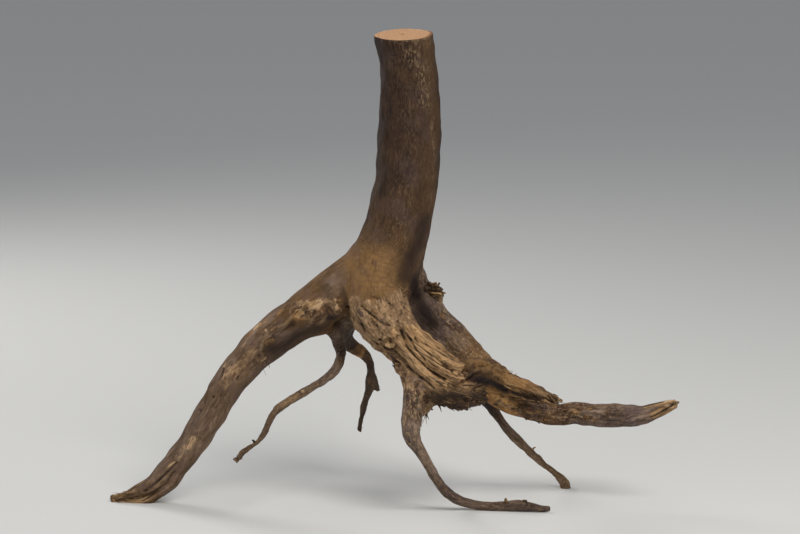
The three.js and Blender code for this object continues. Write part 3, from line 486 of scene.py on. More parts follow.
def smooth_line(stations, step=COURSE_STEP):
    """Points down a root's middle on a Catmull-Rom curve through its stations."""
    stations = np.array(stations)
    points = []
    for i in range(len(stations) - 1):
        a, b, c, d = (stations[np.clip(i + k, 0, len(stations) - 1)] for k in (-1, 0, 1, 2))
        steps = max(2, round(np.linalg.norm((c - b)[:3]) / step))
        for t in np.arange(steps) / steps:
            bend = 2 * b - 2 * c + (c - a) / 2 + (d - b) / 2
            points.append(((bend * t + 3 * c - 3 * b - (c - a) - (d - b) / 2) * t + (c - a) / 2) * t + b)
    points.append(stations[-1])
    return np.array(points)


def place_on(root, points):
    """Distance from a root's surface, and the place along it and off its middle to the side and the front."""
    line = smooth_line(root["line"])
    middle, radius = line[:, :3], line[:, 3]
    along = np.concatenate([[0], np.cumsum(np.linalg.norm(np.diff(middle, axis=0), axis=1))])
    best = np.full(len(points), np.inf)
    result = np.zeros((len(points), 3))
    for i in range(len(middle) - 1):
        span = middle[i + 1] - middle[i]
        offset = points - middle[i]
        t = np.clip(offset @ span / (span @ span), 0, 1)
        gap = offset - t[:, None] * span
        distance = np.linalg.norm(gap, axis=1) - radius[i] - t * (radius[i + 1] - radius[i])
        tangent = span / np.linalg.norm(span)
        front = np.array([0, -1, 0]) + tangent * tangent[1]
        front /= np.linalg.norm(front)
        side = np.cross(front, tangent)
        nearer = distance < best
        best[nearer] = distance[nearer]
        place = np.stack([along[i] + t * (along[i + 1] - along[i]), gap @ side, gap @ front], axis=1)
        result[nearer] = place[nearer]
    # Swells and hollows don't break the grain: most of the distance from the middle is evened out.
    reach = np.maximum(np.hypot(result[:, 1], result[:, 2]), 1e-4)
    result[:, 1:] *= (OWN_REACH + EVEN_REACH * np.mean(radius) / reach)[:, None]
    turn = np.radians(root["turn"]) * result[:, 0]
    side, front = result[:, 1].copy(), result[:, 2].copy()
    result[:, 1] = side * np.cos(turn) - front * np.sin(turn)
    result[:, 2] = side * np.sin(turn) + front * np.cos(turn)
    return best, result


def near_line(points, line, width):
    """1 on a line, falling off smoothly to 0 at about twice its half width."""
    line = np.array(line)
    nearest = np.full(len(points), np.inf)
    for i in range(max(1, len(line) - 1)):
        span = line[min(i + 1, len(line) - 1)] - line[i]
        t = np.clip((points - line[i]) @ span / max(span @ span, 1e-12), 0, 1)
        nearest = np.minimum(nearest, np.linalg.norm(points - line[i] - t[:, None] * span, axis=1))
    return np.exp(-((nearest / width) ** 2))


def survey(points):
    """The grain coordinates at the points, and how much of each coat lies there."""
    weights, places, coats = [], [], []
    ragged = sum(bumps(points + shift, far, size) for far, size, shift in RAGGED_ENDS)
    for root in ROOTS.values():
        distance, place = place_on(root, points)
        weights.append(np.exp(-np.clip(distance, -0.01, 0.05) / MELT))
        reach = place[:, 0] + ragged
        coats.append([np.interp(reach, *zip(*root["coat"].get(kind, [(0, 0)]))) for kind in COATS])
        place[:, 0] += root["begins"]
        places.append(place)
    weights = np.array(weights) / np.sum(weights, axis=0)
    grain = np.einsum("rp,rpk->pk", weights, np.array(places))
    coat = dict(zip(COATS, np.einsum("rp,rkp->kp", weights, np.array(coats))))
    for kind, amount, width, line in PATCHES:
        coat[kind] = np.maximum(coat[kind], amount * near_line(points, line, width))
    # Thick dust hides most of the bare wood.
    coat["bare"] = coat["bare"] * (1 - np.clip(1.6 * coat["dust"] - 0.65, 0, 0.85))
    return grain, coat


def relief(points, grain, coat):
    """Height of the wrinkles, fissures and scars, in metres, at points on the even surface."""
    raw, grey = coat["raw"], coat["grey"]
    crust = coat["crust"] * (1 - raw)
    bare = coat["bare"] * (1 - crust) * (1 - raw)
    bark = (1 - coat["bare"]) * (1 - crust) * (1 - raw)
    warped = grain + wander(points, *BARK_WANDER)
    straight = grain + wander(points, *WOOD_WANDER)
    swell = bumps(grain, *SWELLING) + bumps(points, *UNEVENNESS)
    wrinkles = creases(warped, *BARK_WRINKLES)
    plates = bumps(grain, *BARK_PLATES)
    fissures = creases(straight, *WOOD_FISSURES)
    fissures += creases(straight + 0.3, *FINE_FISSURES)
    fibres = bumps(straight, *WOOD_FIBRES)
    lumps = bumps(warped, *CRUST_LUMPS) + bumps(points, *CRUST_CRUMBS)
    lumps += creases(warped + 0.6, *CRUST_CRACKS)
    torn = bumps(warped, *TORN_SHREDS) + bumps(points + 0.1, *TORN_CRUMBS)
    # Grey and dusty bark is smooth, and so is what the dark coat covers, dark bark and painted shade alike.
    smooth = np.clip(0.6 * grey + 0.6 * coat["dark"] + 0.6 * coat["dust"], 0, 0.75)
    height = swell + bark * (1 - smooth) * (wrinkles + plates)
    height += bare * (fissures + fibres) + crust * lumps + raw * torn
    for tall, width, line in MARKS:
        height += tall * near_line(points, line, width)
    return height


def mesh_points(mesh):
    flat = np.empty(len(mesh.vertices) * 3, dtype=np.float32)
    mesh.vertices.foreach_get("co", flat)
    return flat.reshape(-1, 3).astype(float)


def mesh_normals(mesh):
    flat = np.empty(len(mesh.vertices) * 3, dtype=np.float32)
    mesh.vertex_normals.foreach_get("vector", flat)
    return flat.reshape(-1, 3).astype(float)


def set_points(mesh, points):
    mesh.vertices.foreach_set("co", points.astype(np.float32).ravel())
    mesh.update()


def neighbours(mesh):
    """A function that averages any values over each vertex's neighbours."""
    ends = np.empty(len(mesh.edges) * 2, dtype=np.int32)
    mesh.edges.foreach_get("vertices", ends)
    here = np.concatenate([ends[0::2], ends[1::2]])
    there = np.concatenate([ends[1::2], ends[0::2]])
    size = len(mesh.vertices)
    count = np.bincount(here, minlength=size)

    def average(values):
        sums = [np.bincount(here, weights=column, minlength=size) for column in values[there].T]
        return np.stack(sums, axis=1) / count[:, None]

    return average


def with_modifier(piece, kind, **settings):
    """Replaces the piece's mesh by its mesh under one modifier."""
    modifier = piece.modifiers.new(kind, kind)
    for key, value in settings.items():
        setattr(modifier, key, value)
    made = bpy.data.meshes.new_from_object(piece.evaluated_get(bpy.context.evaluated_depsgraph_get()))
    piece.modifiers.clear()
    piece.data = made


# The two flats of the CAD solid are pushed out, so that the remesh leaves no rounded rim on them.
body_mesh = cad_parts["dry_root"].data.copy()
body_mesh.name = "dry_root_wood"
points = mesh_points(body_mesh)
on_saw = abs((points - np.array(SAW_POINT)) @ np.array(SAW_NORMAL)) < ON_FLAT
points[on_saw] += TRIM * np.array(SAW_NORMAL)
points[abs(points[:, 2]) < ON_FLAT, 2] -= TRIM
set_points(body_mesh, points)
body = bpy.data.objects.new("dry_root_wood", body_mesh)
bpy.context.collection.objects.link(body)
with_modifier(body, "REMESH", mode="VOXEL", voxel_size=SPACING)
average = neighbours(body.data)
points = mesh_points(body.data)
for factor in EVENING:
    points += factor * (average(points) - points)
set_points(body.data, points)
grain, coat = survey(points)
points += relief(points, grain, coat)[:, None] * mesh_normals(body.data)
set_points(body.data, points)
triangles = 2 * len(body.data.polygons)
with_modifier(body, "DECIMATE", ratio=TRIANGLES / triangles)

# Both flats are cut back to their planes and closed.
shape = bmesh.new()
shape.from_mesh(body.data)
for point, normal in ((SAW_POINT, SAW_NORMAL), (Vector((0, 0, 0)), Vector((0, 0, -1)))):
    everything = list(shape.verts) + list(shape.edges) + list(shape.faces)
    cut = bmesh.ops.bisect_plane(
        shape, geom=everything, dist=1e-7, plane_co=point, plane_no=normal, clear_outer=True
    )
    rim = [e for e in cut["geom_cut"] if isinstance(e, bmesh.types.BMEdge)]
    caps = bmesh.ops.holes_fill(shape, edges=rim, sides=0)["faces"]
    for edge in rim:
        edge.smooth = False
    for cap in caps:
        cap.material_index = 1 if normal.z > 0 else 0
        cap.smooth = False
shape.normal_update()
body_mesh = bpy.data.meshes.new("dry_root_wood")
shape.to_mesh(body_mesh)
shape.free()
body.data = body_mesh

# What the material needs to know at each point of the surface.
points = mesh_points(body_mesh)
grain, coat = survey(points)
average = neighbours(body_mesh)
normals = mesh_normals(body_mesh)
hollow = np.sum((average(average(points)) - points) * normals, axis=1)
hollow = average(hollow[:, None])
around = hollow
for _ in range(HOLLOW_ROUNDS):
    around = average(around)
hollow = (hollow - around)[:, 0]


def store(mesh, name, values):
    """Keeps one number or one vector for each point of a mesh, under a name that materials can read."""
    values = np.asarray(values, dtype=np.float32)
    kind, key = ("FLOAT", "value") if values.ndim == 1 else ("FLOAT_VECTOR", "vector")
    mesh.attributes.new(name, kind, "POINT").data.foreach_set(key, values.ravel())


store(body_mesh, "grain", grain)
store(body_mesh, "hollow", np.clip(hollow / HOLLOW_DEPTH, -1, 1))
store(body_mesh, "coat_wood_and_highlight", np.stack([coat["bare"], coat["raw"], coat["pale"]], axis=1))
store(body_mesh, "coat_bark_and_shade", np.stack([coat["grey"], coat["rust"], coat["dark"]], axis=1))
store(body_mesh, "coat_dirt_and_glint", np.stack([coat["dust"], coat["scuff"], coat["crust"]], axis=1))


def plug(tree, socket, value):
    if isinstance(value, bpy.types.NodeSocket):
        tree.links.new(value, socket)
    else:
        socket.default_value = value


def calc(tree, operation, a, b, clamp=False):
    """A maths node, as its result."""
    made = tree.nodes.new("ShaderNodeMath")
    made.operation = operation
    made.use_clamp = clamp
    for socket, value in zip(made.inputs, (a, b)):
        plug(tree, socket, value)
    return made.outputs[0]


def blend(tree, share, a, b):
    """A mix of two colours, as its result."""
    made = tree.nodes.new("ShaderNodeMix")
    made.data_type = "RGBA"
    plug(tree, made.inputs[0], share)
    plug(tree, made.inputs[6], a)
    plug(tree, made.inputs[7], b)
    return made.outputs[2]


def noise(tree, vector, scale, detail=4.0, roughness=0.6, distortion=0.0):
    """A noise texture, as its value."""
    made = tree.nodes.new("ShaderNodeTexNoise")
    plug(tree, made.inputs["Vector"], vector)
    plug(tree, made.inputs["Scale"], scale)
    made.inputs["Detail"].default_value = detail
    made.inputs["Roughness"].default_value = roughness
    made.inputs["Distortion"].default_value = distortion
    return made.outputs["Fac"]


def total(tree, a, share_a, b, share_b):
    """The sum of two values, each times its share."""
    return calc(tree, "ADD", calc(tree, "MULTIPLY", a, share_a), calc(tree, "MULTIPLY", b, share_b))


def between(tree, value, low, high):
    """0 where the value is under low, 1 where it is over high, and smooth in between."""
    made = tree.nodes.new("ShaderNodeMapRange")
    made.interpolation_type = "SMOOTHSTEP"
    plug(tree, made.inputs["Value"], value)
    made.inputs["From Min"].default_value = low
    made.inputs["From Max"].default_value = high
    return made.outputs["Result"]


def srgb(red, green, blue):
    """A colour given as it shows on a screen, from 0 to 255, as the linear colour of a material."""
    return tuple((c / 255) ** 2.2 for c in (red, green, blue)) + (1,)


def stretched(tree, vector, shrink):
    """Grain coordinates shrunk along the grain, so that what is drawn in them runs with it."""
    made = tree.nodes.new("ShaderNodeVectorMath")
    made.operation = "MULTIPLY"
    plug(tree, made.inputs[0], vector)
    made.inputs[1].default_value = (shrink, 1, 1)
    return made.outputs[0]


def tones(tree, given, tone, to_middle, to_light):
    """Deep, middle and light colour by tone, which change over between two pairs of tones."""
    colour = blend(tree, between(tree, tone, *to_middle), given["Deep"], given["Middle"])
    return blend(tree, between(tree, tone, *to_light), colour, given["Light"])


def stain_and_shade(tree, mask, share, colour, over):
    """A colour with a share of another one laid over it where the mask is 1."""
    return blend(tree, calc(tree, "MULTIPLY", mask, share), colour, srgb(*over))


def new_group(name, inputs, outputs):
    """A node group with named sockets, as its tree, its inputs and a function that plugs an output."""
    tree = bpy.data.node_groups.new(name, "ShaderNodeTree")
    for label, kind in inputs.items():
        tree.interface.new_socket(label, in_out="INPUT", socket_type="NodeSocket" + kind)
    for label, kind in outputs.items():
        tree.interface.new_socket(label, in_out="OUTPUT", socket_type="NodeSocket" + kind)
    given = tree.nodes.new("NodeGroupInput").outputs
    result = tree.nodes.new("NodeGroupOutput").inputs
    return tree, given, result


TONES_IN = {"Grain": "Vector", "Light": "Color", "Middle": "Color", "Deep": "Color"}
COLOUR_OUT = {"Color": "Color", "Height": "Float"}

# Dry wood fibre, seen where the bark is gone: bands along the grain, fine fibres in them and hairline splits.
fibre_group, given, result = new_group("wood_fibre", TONES_IN, COLOUR_OUT)
long_way = stretched(fibre_group, given["Grain"], 0.06)
bands = noise(fibre_group, long_way, 190, detail=3, distortion=0.3)
fibres = noise(fibre_group, long_way, 900, detail=4, roughness=0.7)
splits = between(fibre_group, noise(fibre_group, long_way, 420, detail=3), 0.43, 0.37)
fine_splits = between(fibre_group, noise(fibre_group, long_way, 1000, detail=2), 0.42, 0.36)
splits = calc(fibre_group, "MAXIMUM", splits, calc(fibre_group, "MULTIPLY", fine_splits, 0.6))
tone = total(fibre_group, bands, 0.6, fibres, 0.4)
wood_colour = tones(fibre_group, given, tone, (0.40, 0.50), (0.50, 0.60))
wood_colour = stain_and_shade(fibre_group, splits, 0.85, wood_colour, (34, 24, 16))
plug(fibre_group, result["Color"], wood_colour)
height = calc(fibre_group, "ADD", calc(fibre_group, "MULTIPLY", fibres, 0.5), bands)
height = calc(fibre_group, "SUBTRACT", height, calc(fibre_group, "MULTIPLY", splits, 0.8))
plug(fibre_group, result["Height"], height)

# Thin root bark: blotches, fine wrinkles along the grain, corky dots and short cracks across it.
bark_group, given, result = new_group("thin_bark", TONES_IN, COLOUR_OUT)
wide = stretched(bark_group, given["Grain"], 0.5)
blotches = noise(bark_group, wide, 70, detail=6, roughness=0.65, distortion=0.4)
long_way = stretched(bark_group, given["Grain"], 0.18)
wrinkles = noise(bark_group, long_way, 520, detail=5, roughness=0.65, distortion=0.6)
short_way = stretched(bark_group, given["Grain"], 1.6)
specks = noise(bark_group, short_way, 1100, detail=3, roughness=0.7)
tone = total(bark_group, blotches, 0.55, wrinkles, 0.45)
bark_colour = tones(bark_group, given, tone, (0.42, 0.52), (0.51, 0.60))
tint = noise(bark_group, given["Grain"], 45, detail=3)
bark_colour = stain_and_shade(bark_group, between(bark_group, tint, 0.5, 0.62), 0.4, bark_colour, (106, 86, 86))
bark_colour = stain_and_shade(bark_group, between(bark_group, tint, 0.46, 0.36), 0.3, bark_colour, (96, 66, 38))
bark_colour = stain_and_shade(bark_group, between(bark_group, specks, 0.60, 0.66), 0.6, bark_colour, (160, 132, 100))
bark_colour = blend(bark_group, between(bark_group, specks, 0.37, 0.31), bark_colour, srgb(30, 21, 15))
plug(bark_group, result["Color"], bark_colour)
height = calc(bark_group, "ADD", wrinkles, calc(bark_group, "MULTIPLY", specks, 0.5))
height = calc(bark_group, "ADD", height, calc(bark_group, "MULTIPLY", blotches, 0.7))
plug(bark_group, result["Height"], height)

# Crusty bark and torn wood: a crumble of small lumps of different colours, with dark pits between them.
crust_group, given, result = new_group("crumbling_bark", TONES_IN, COLOUR_OUT)
lump_at = stretched(crust_group, given["Grain"], 0.5)
patchy = noise(crust_group, lump_at, 160, detail=5, roughness=0.7, distortion=0.8)
crumbs = noise(crust_group, lump_at, 620, detail=5, roughness=0.75, distortion=1.2)
tone = total(crust_group, patchy, 0.55, crumbs, 0.45)
crust_colour = tones(crust_group, given, tone, (0.40, 0.52), (0.50, 0.62))
crust_colour = blend(crust_group, between(crust_group, crumbs, 0.42, 0.33), crust_colour, srgb(26, 18, 13))
plug(crust_group, result["Color"], crust_colour)
height = calc(crust_group, "ADD", calc(crust_group, "MULTIPLY", patchy, 1.2), crumbs)
plug(crust_group, result["Height"], height)

# A ragged edge for a coat that ends somewhere: its smooth amount becomes patches with broken outlines.
ragged_group, given, result = new_group(
    "ragged_edge", {"Grain": "Vector", "Amount": "Float", "Scale": "Float"}, {"Mask": "Float"}
)
wide = stretched(ragged_group, given["Grain"], 0.45)
breakup = noise(ragged_group, wide, given["Scale"], detail=6, roughness=0.7)
breakup = calc(ragged_group, "MULTIPLY", calc(ragged_group, "SUBTRACT", breakup, 0.5), 1.7)
ragged = calc(ragged_group, "ADD", given["Amount"], breakup)
plug(ragged_group, result["Mask"], between(ragged_group, ragged, 0.38, 0.62))


def use_group(tree, group, **values):
    """Places a group in a material, as its outputs."""
    made = tree.nodes.new("ShaderNodeGroup")
    made.node_tree = group
    for label, value in values.items():
        plug(tree, made.inputs[label], value)
    return made.outputs


def finish(tree, grain, group, light, middle, deep):
    """Places a group whose colour runs through three tones, as its outputs."""
    return use_group(tree, group, Grain=grain, Light=srgb(*light), Middle=srgb(*middle), Deep=srgb(*deep))


def attribute(tree, name):
    made = tree.nodes.new("ShaderNodeAttribute")
    made.attribute_name = name
    return made


def parts_of(tree, vector):
    made = tree.nodes.new("ShaderNodeSeparateXYZ")
    plug(tree, made.inputs[0], vector)
    return made.outputs


def new_material(name, **constants):
    """A material with a Principled BSDF whose constants are set on its own sockets."""
    made = bpy.data.materials.new(name)
    made.use_nodes = True
    shader = made.node_tree.nodes["Principled BSDF"]
    for label, value in constants.items():
        shader.inputs[label.replace("_", " ")].default_value = value
    return made, made.node_tree, shader


def bump(tree, shader, height, depth):
    """Fine relief from a height of about one unit, given the depth in metres that one unit stands for."""
    made = tree.nodes.new("ShaderNodeBump")
    made.inputs["Strength"].default_value = 1.0
    made.inputs["Distance"].default_value = depth
    plug(tree, made.inputs["Height"], height)
    tree.links.new(made.outputs["Normal"], shader.inputs["Normal"])


wood_material, tree, shader = new_material("weathered_wood", Specular_IOR_Level=0.22)
grain_at = attribute(tree, "grain").outputs["Vector"]
bare_at, raw_at, pale_at = parts_of(tree, attribute(tree, "coat_wood_and_highlight").outputs["Vector"])
grey_at, rust_at, dark_at = parts_of(tree, attribute(tree, "coat_bark_and_shade").outputs["Vector"])
dust_at, scuff_at, crust_at = parts_of(tree, attribute(tree, "coat_dirt_and_glint").outputs["Vector"])
hollow_at = attribute(tree, "hollow").outputs["Fac"]


def mask(amount, scale):
    return use_group(tree, ragged_group, Grain=grain_at, Amount=amount, Scale=float(scale))["Mask"]


# Finishes, each in a light, a middle and a deep tone
bark = finish(tree, grain_at, bark_group, (114, 87, 64), (86, 63, 46), (56, 40, 30))
grey = finish(tree, grain_at, bark_group, (154, 131, 115), (108, 90, 78), (62, 49, 43))
rust = finish(tree, grain_at, bark_group, (206, 158, 98), (158, 113, 70), (94, 66, 46))
crust = finish(tree, grain_at, crust_group, (198, 164, 124), (152, 121, 90), (92, 70, 54))
bare = finish(tree, grain_at, fibre_group, (184, 148, 106), (142, 110, 78), (92, 70, 52))
raw = finish(tree, grain_at, fibre_group, (202, 166, 120), (154, 118, 80), (96, 66, 42))

# Brown bark lies over all, and the coats over it in the order in which they cover each other.
colour = blend(tree, mask(grey_at, 90), bark["Color"], grey["Color"])
colour = blend(tree, mask(rust_at, 160), colour, rust["Color"])
dusty = noise(tree, grain_at, 260, detail=5, roughness=0.75)
dust_mask = calc(tree, "MULTIPLY", dust_at, between(tree, dusty, 0.22, 0.58), clamp=True)
colour = blend(tree, dust_mask, colour, srgb(142, 108, 68))
bare_mask = mask(bare_at, 140)
raw_mask = mask(raw_at, 260)
colour = blend(tree, bare_mask, colour, bare["Color"])
crust_mask = mask(crust_at, 180)
colour = blend(tree, crust_mask, colour, crust["Color"])
colour = blend(tree, raw_mask, colour, raw["Color"])
# Chafed flecks: pale streaks where the coat is scuffed, which partly stand in for glints as painted highlights
streaks = noise(tree, stretched(tree, grain_at, 0.4), 650, detail=6, roughness=0.75, distortion=0.5)
scuff_and_glint_mask = calc(tree, "MULTIPLY", scuff_at, between(tree, streaks, 0.51, 0.60), clamp=True)
colour = blend(tree, scuff_and_glint_mask, colour, srgb(186, 156, 118))
# Pale peeled spots, and painted highlights along the ledge of the left root
colour = blend(tree, mask(pale_at, 300), colour, srgb(198, 164, 126))

# Dirt and painted shade in the hollows, wear on the ridges, and dark bark and painted shade over everything
deep = between(tree, hollow_at, 0.12, 0.9)
colour = stain_and_shade(tree, deep, 0.8, colour, (30, 21, 15))
proud = between(tree, hollow_at, -0.12, -0.7)
colour = stain_and_shade(tree, proud, 0.35, colour, (176, 146, 112))
colour = blend(tree, calc(tree, "MINIMUM", dark_at, 1.0, clamp=True), colour, srgb(37, 25, 21))
plug(tree, shader.inputs["Base Color"], colour)
smoother = calc(tree, "MULTIPLY", calc(tree, "MAXIMUM", grey_at, dark_at), 0.3)
plug(tree, shader.inputs["Roughness"], calc(tree, "SUBTRACT", 0.88, smoother))


def fade(tree, share, a, b):
    """A mix of two numbers, as its result."""
    made = tree.nodes.new("ShaderNodeMix")
    for socket, value in zip(made.inputs, (share, None, a, b)):
        if value is not None:
            plug(tree, socket, value)
    return made.outputs[0]


height = fade(tree, bare_mask, bark["Height"], bare["Height"])
height = fade(tree, calc(tree, "MAXIMUM", crust_mask, raw_mask), height, crust["Height"])
flattened = calc(tree, "SUBTRACT", 1.0, calc(tree, "MULTIPLY", dark_at, 0.6), clamp=True)
bump(tree, shader, calc(tree, "MULTIPLY", height, flattened), 0.0019)
body_mesh.materials.append(wood_material)

# The saw cut, the second material of the same mesh: flat end grain, browner at the pith and towards the bark,
# with growth rings, a fine fuzz of cut fibres and the marks of the saw across it.
PITH = SAW_POINT + Vector((0.0002, 0.0006, 0))
RING_TURNS = 2100.0  # radians of ring pattern in a metre: a ring every 3 mm
BARK_RIM = (0.0238, 0.0266)
PITH_RIM = (0.0026, 0.0010)
sawn_material, tree, shader = new_material("sawn_end_grain", Specular_IOR_Level=0.25, Roughness=0.85)
coordinates = tree.nodes.new("ShaderNodeTexCoord").outputs["Object"]
from_pith = tree.nodes.new("ShaderNodeVectorMath")
from_pith.operation = "SUBTRACT"
plug(tree, from_pith.inputs[0], coordinates)
from_pith.inputs[1].default_value = PITH
from_pith = from_pith.outputs[0]
distance = tree.nodes.new("ShaderNodeVectorMath")
distance.operation = "LENGTH"
plug(tree, distance.inputs[0], from_pith)
wobble = calc(tree, "SUBTRACT", noise(tree, from_pith, 60, detail=2), 0.5)
wobble = calc(tree, "MULTIPLY", wobble, 0.006)
radial = calc(tree, "ADD", distance.outputs["Value"], wobble)
rings = calc(tree, "SINE", calc(tree, "MULTIPLY", radial, RING_TURNS), 0.0)
rings = calc(tree, "MULTIPLY", calc(tree, "ADD", rings, 1.0), 0.5)
fuzz = noise(tree, from_pith, 900, detail=5, roughness=0.7)
sawn_colour = blend(tree, calc(tree, "MULTIPLY", rings, 0.5), srgb(180, 138, 104), srgb(152, 110, 76))
sawn_colour = blend(tree, between(tree, fuzz, 0.45, 0.7), sawn_colour, srgb(204, 166, 126))
sawn_colour = blend(tree, between(tree, radial, *BARK_RIM), sawn_colour, srgb(120, 86, 58))
sawn_colour = blend(tree, between(tree, radial, *PITH_RIM), sawn_colour, srgb(128, 90, 60))
plug(tree, shader.inputs["Base Color"], sawn_colour)
marks = tree.nodes.new("ShaderNodeTexWave")
plug(tree, marks.inputs["Vector"], coordinates)
marks.bands_direction = "X"
marks.inputs["Scale"].default_value = 160
marks.inputs["Distortion"].default_value = 3
bump(tree, shader, calc(tree, "ADD", marks.outputs["Fac"], fuzz), 0.0003)
body_mesh.materials.append(sawn_material)
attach(body, "root")
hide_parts("dry_root")

# Torn fibres and splinters: thin tapering strands of bare wood, still rooted where the wood broke. Each tuft
# has the root whose grain it follows, the number of strands, their length and radius, how far they stand off
# the wood, how far they hang down, and the line of places that they grow from.
TUFTS = [
    ("front_root", 30, 0.005, 0.0008, 0.2, 0.1,
     [(0.048, -0.058, 0.108), (0.066, -0.054, 0.106), (0.084, -0.04, 0.107)]),
    ("front_root", 14, 0.0045, 0.00085, 0.25, 0.2,
     [(0.034, -0.05, 0.098), (0.052, -0.048, 0.099), (0.078, -0.038, 0.101)]),
    ("front_root", 24, 0.01, 0.00055, 0.08, 0.05,
     [(0.04, -0.061, 0.122), (0.058, -0.058, 0.118), (0.08, -0.046, 0.113)]),
    ("front_root", 20, 0.0035, 0.0005, 0.5, 0.0,
     [(-0.006, -0.052, 0.162), (0.004, -0.053, 0.164), (0.002, -0.053, 0.156)]),
    ("back_root", 10, 0.0045, 0.0008, 0.0, 0.0, [(0.144, -0.02, 0.104), (0.152, -0.0195, 0.1)]),
    ("back_root", 26, 0.017, 0.0006, 0.03, 0.0,
     [(0.096, -0.015, 0.109), (0.116, -0.014, 0.103), (0.132, -0.017, 0.098)]),
    ("back_root", 12, 0.004, 0.0004, 0.8, 0.0, [(0.104, -0.008, 0.122), (0.118, -0.012, 0.119)]),
    ("left_root", 14, 0.008, 0.00055, 0.01, 0.0, [(-0.236, -0.002, 0.008), (-0.248, 0.003, 0.007)]),
    ("left_root", 10, 0.005, 0.0003, 0.8, 0.8, [(-0.117, -0.029, 0.136), (-0.113, -0.028, 0.136)]),
    ("left_root", 26, 0.005, 0.00045, 0.25, 0.1, [(-0.084, -0.029, 0.184), (-0.068, -0.03, 0.18)]),
    ("front_leg", 14, 0.0055, 0.00045, 0.5, 0.6, [(0.028, -0.052, 0.1), (0.031, -0.05, 0.09)]),
]
TUFT_SCATTER = 0.0022
STRAY = 0.22  # of a strand's direction from the grain
CURL = 0.35
ROOTED_BACK, ROOTED_DOWN = 0.001, 0.0004  # how far behind and under its place on the wood a strand starts
STRAND_SIDES = 5
STRAND_RINGS = 6
STRAND_FLATNESS = 0.7
ASKEW = Vector((0.31, 0.95, 0.05))  # along which no strand runs
chance = np.random.default_rng(5)
corners = [vertex.co for vertex in body_mesh.vertices]
body_surface = BVHTree.FromPolygons(corners, [polygon.vertices for polygon in body_mesh.polygons])


def grain_way(root, place):
    """The direction in which a root runs near a place."""
    middle = smooth_line(ROOTS[root]["line"])[:, :3]
    nearest = min(int(np.argmin(np.linalg.norm(middle - np.array(place), axis=1))), len(middle) - 2)
    return Vector(middle[nearest + 1] - middle[nearest]).normalized()


def somewhere_on(line):
    """A random place along a line of points."""
    at = chance.random() * (len(line) - 1)
    i = min(int(at), len(line) - 2)
    return Vector(line[i]).lerp(Vector(line[i + 1]), at - i)


def jitter(size):
    return Vector(chance.normal(0, size, 3))


def strand(course, radius, vertices, faces, grains, tip=0.15):
    """Adds a closed strand round a course of points to a mesh's lists. Its end keeps a share of its radius."""
    first = len(vertices)
    shift = chance.random(3)
    along = 0
    for i, place in enumerate(course):
        way = (course[min(i + 1, len(course) - 1)] - course[max(i - 1, 0)]).normalized()
        side = way.cross(ASKEW).normalized()
        other = way.cross(side)
        along += (place - course[max(i - 1, 0)]).length
        thick = radius * (1 - (1 - tip) * i / (len(course) - 1))
        for k in range(STRAND_SIDES):
            angle = 2 * np.pi * k / STRAND_SIDES
            out = (side * cos(angle) + other * sin(angle) * STRAND_FLATNESS) * thick
            vertices.append(place + out)
            grains.append((along + shift[0], cos(angle) * radius + shift[1], sin(angle) * radius + shift[2]))
    for i in range(len(course) - 1):
        for k in range(STRAND_SIDES):
            a, b = first + i * STRAND_SIDES + k, first + i * STRAND_SIDES + (k + 1) % STRAND_SIDES
            faces.append((a, b, b + STRAND_SIDES, a + STRAND_SIDES))
    last = first + (len(course) - 1) * STRAND_SIDES
    faces.append(tuple(range(first + STRAND_SIDES - 1, first - 1, -1)))
    faces.append(tuple(range(last, last + STRAND_SIDES)))


def new_piece(name, vertices, faces, grains, material):
    """A smooth piece that rides with the wood and has the same finish."""
    mesh = bpy.data.meshes.new(name)
    mesh.from_pydata(vertices, [], faces)
    mesh.materials.append(material)
    mesh.polygons.foreach_set("use_smooth", np.ones(len(mesh.polygons), dtype=bool))
    store(mesh, "grain", np.array(grains))
    store(mesh, "shade", survey(mesh_points(mesh))[1]["dark"])
    piece = bpy.data.objects.new(name, mesh)
    bpy.context.collection.objects.link(piece)
    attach(piece, "root")


vertices, faces, grains = [], [], []
for root, count, length, radius, lift, droop, line in TUFTS:
    for _ in range(count):
        place = somewhere_on(line) + jitter(TUFT_SCATTER)
        start, outward, _, _ = body_surface.find_nearest(place)
        way = grain_way(root, start) + outward * lift + jitter(STRAY) - Vector((0, 0, droop))
        way = (way - outward * min(0, way.dot(outward))).normalized()
        curl = jitter(CURL) - Vector((0, 0, 0.3 * droop))
        size = length * chance.uniform(0.4, 1.2)
        course = [start - way * ROOTED_BACK - outward * ROOTED_DOWN]
        for i in range(1, STRAND_RINGS):
            share = i / (STRAND_RINGS - 1)
            course.append(start + way * size * share + curl * size * share * share)
        strand(course, radius * chance.uniform(0.7, 1.5), vertices, faces, grains)
low, high = np.array(cad_box[0]), np.array(cad_box[1])
vertices = [Vector(np.clip(v, low, high)) for v in vertices]


def shaded(tree, colour):
    """A strand's or scale's colour, darkened where the wood that it grows from is dark, with its dark bark and
    its painted shade.
    """
    share = calc(tree, "MULTIPLY", attribute(tree, "shade").outputs["Fac"], 0.8, clamp=True)
    return blend(tree, share, colour, srgb(40, 29, 23))


fibre_material, tree, shader = new_material("torn_fibre", Specular_IOR_Level=0.25, Roughness=0.88)
grain_at = attribute(tree, "grain").outputs["Vector"]
fibre = finish(tree, grain_at, fibre_group, (196, 160, 114), (154, 120, 82), (94, 70, 50))
strand_tone = noise(tree, grain_at, 7, detail=1)
strand_colour = blend(tree, between(tree, strand_tone, 0.38, 0.6), fibre["Color"], srgb(78, 61, 47))
plug(tree, shader.inputs["Base Color"], shaded(tree, strand_colour))
bump(tree, shader, fibre["Height"], 0.0003)
new_piece("torn_fibres", vertices, faces, grains, fibre_material)

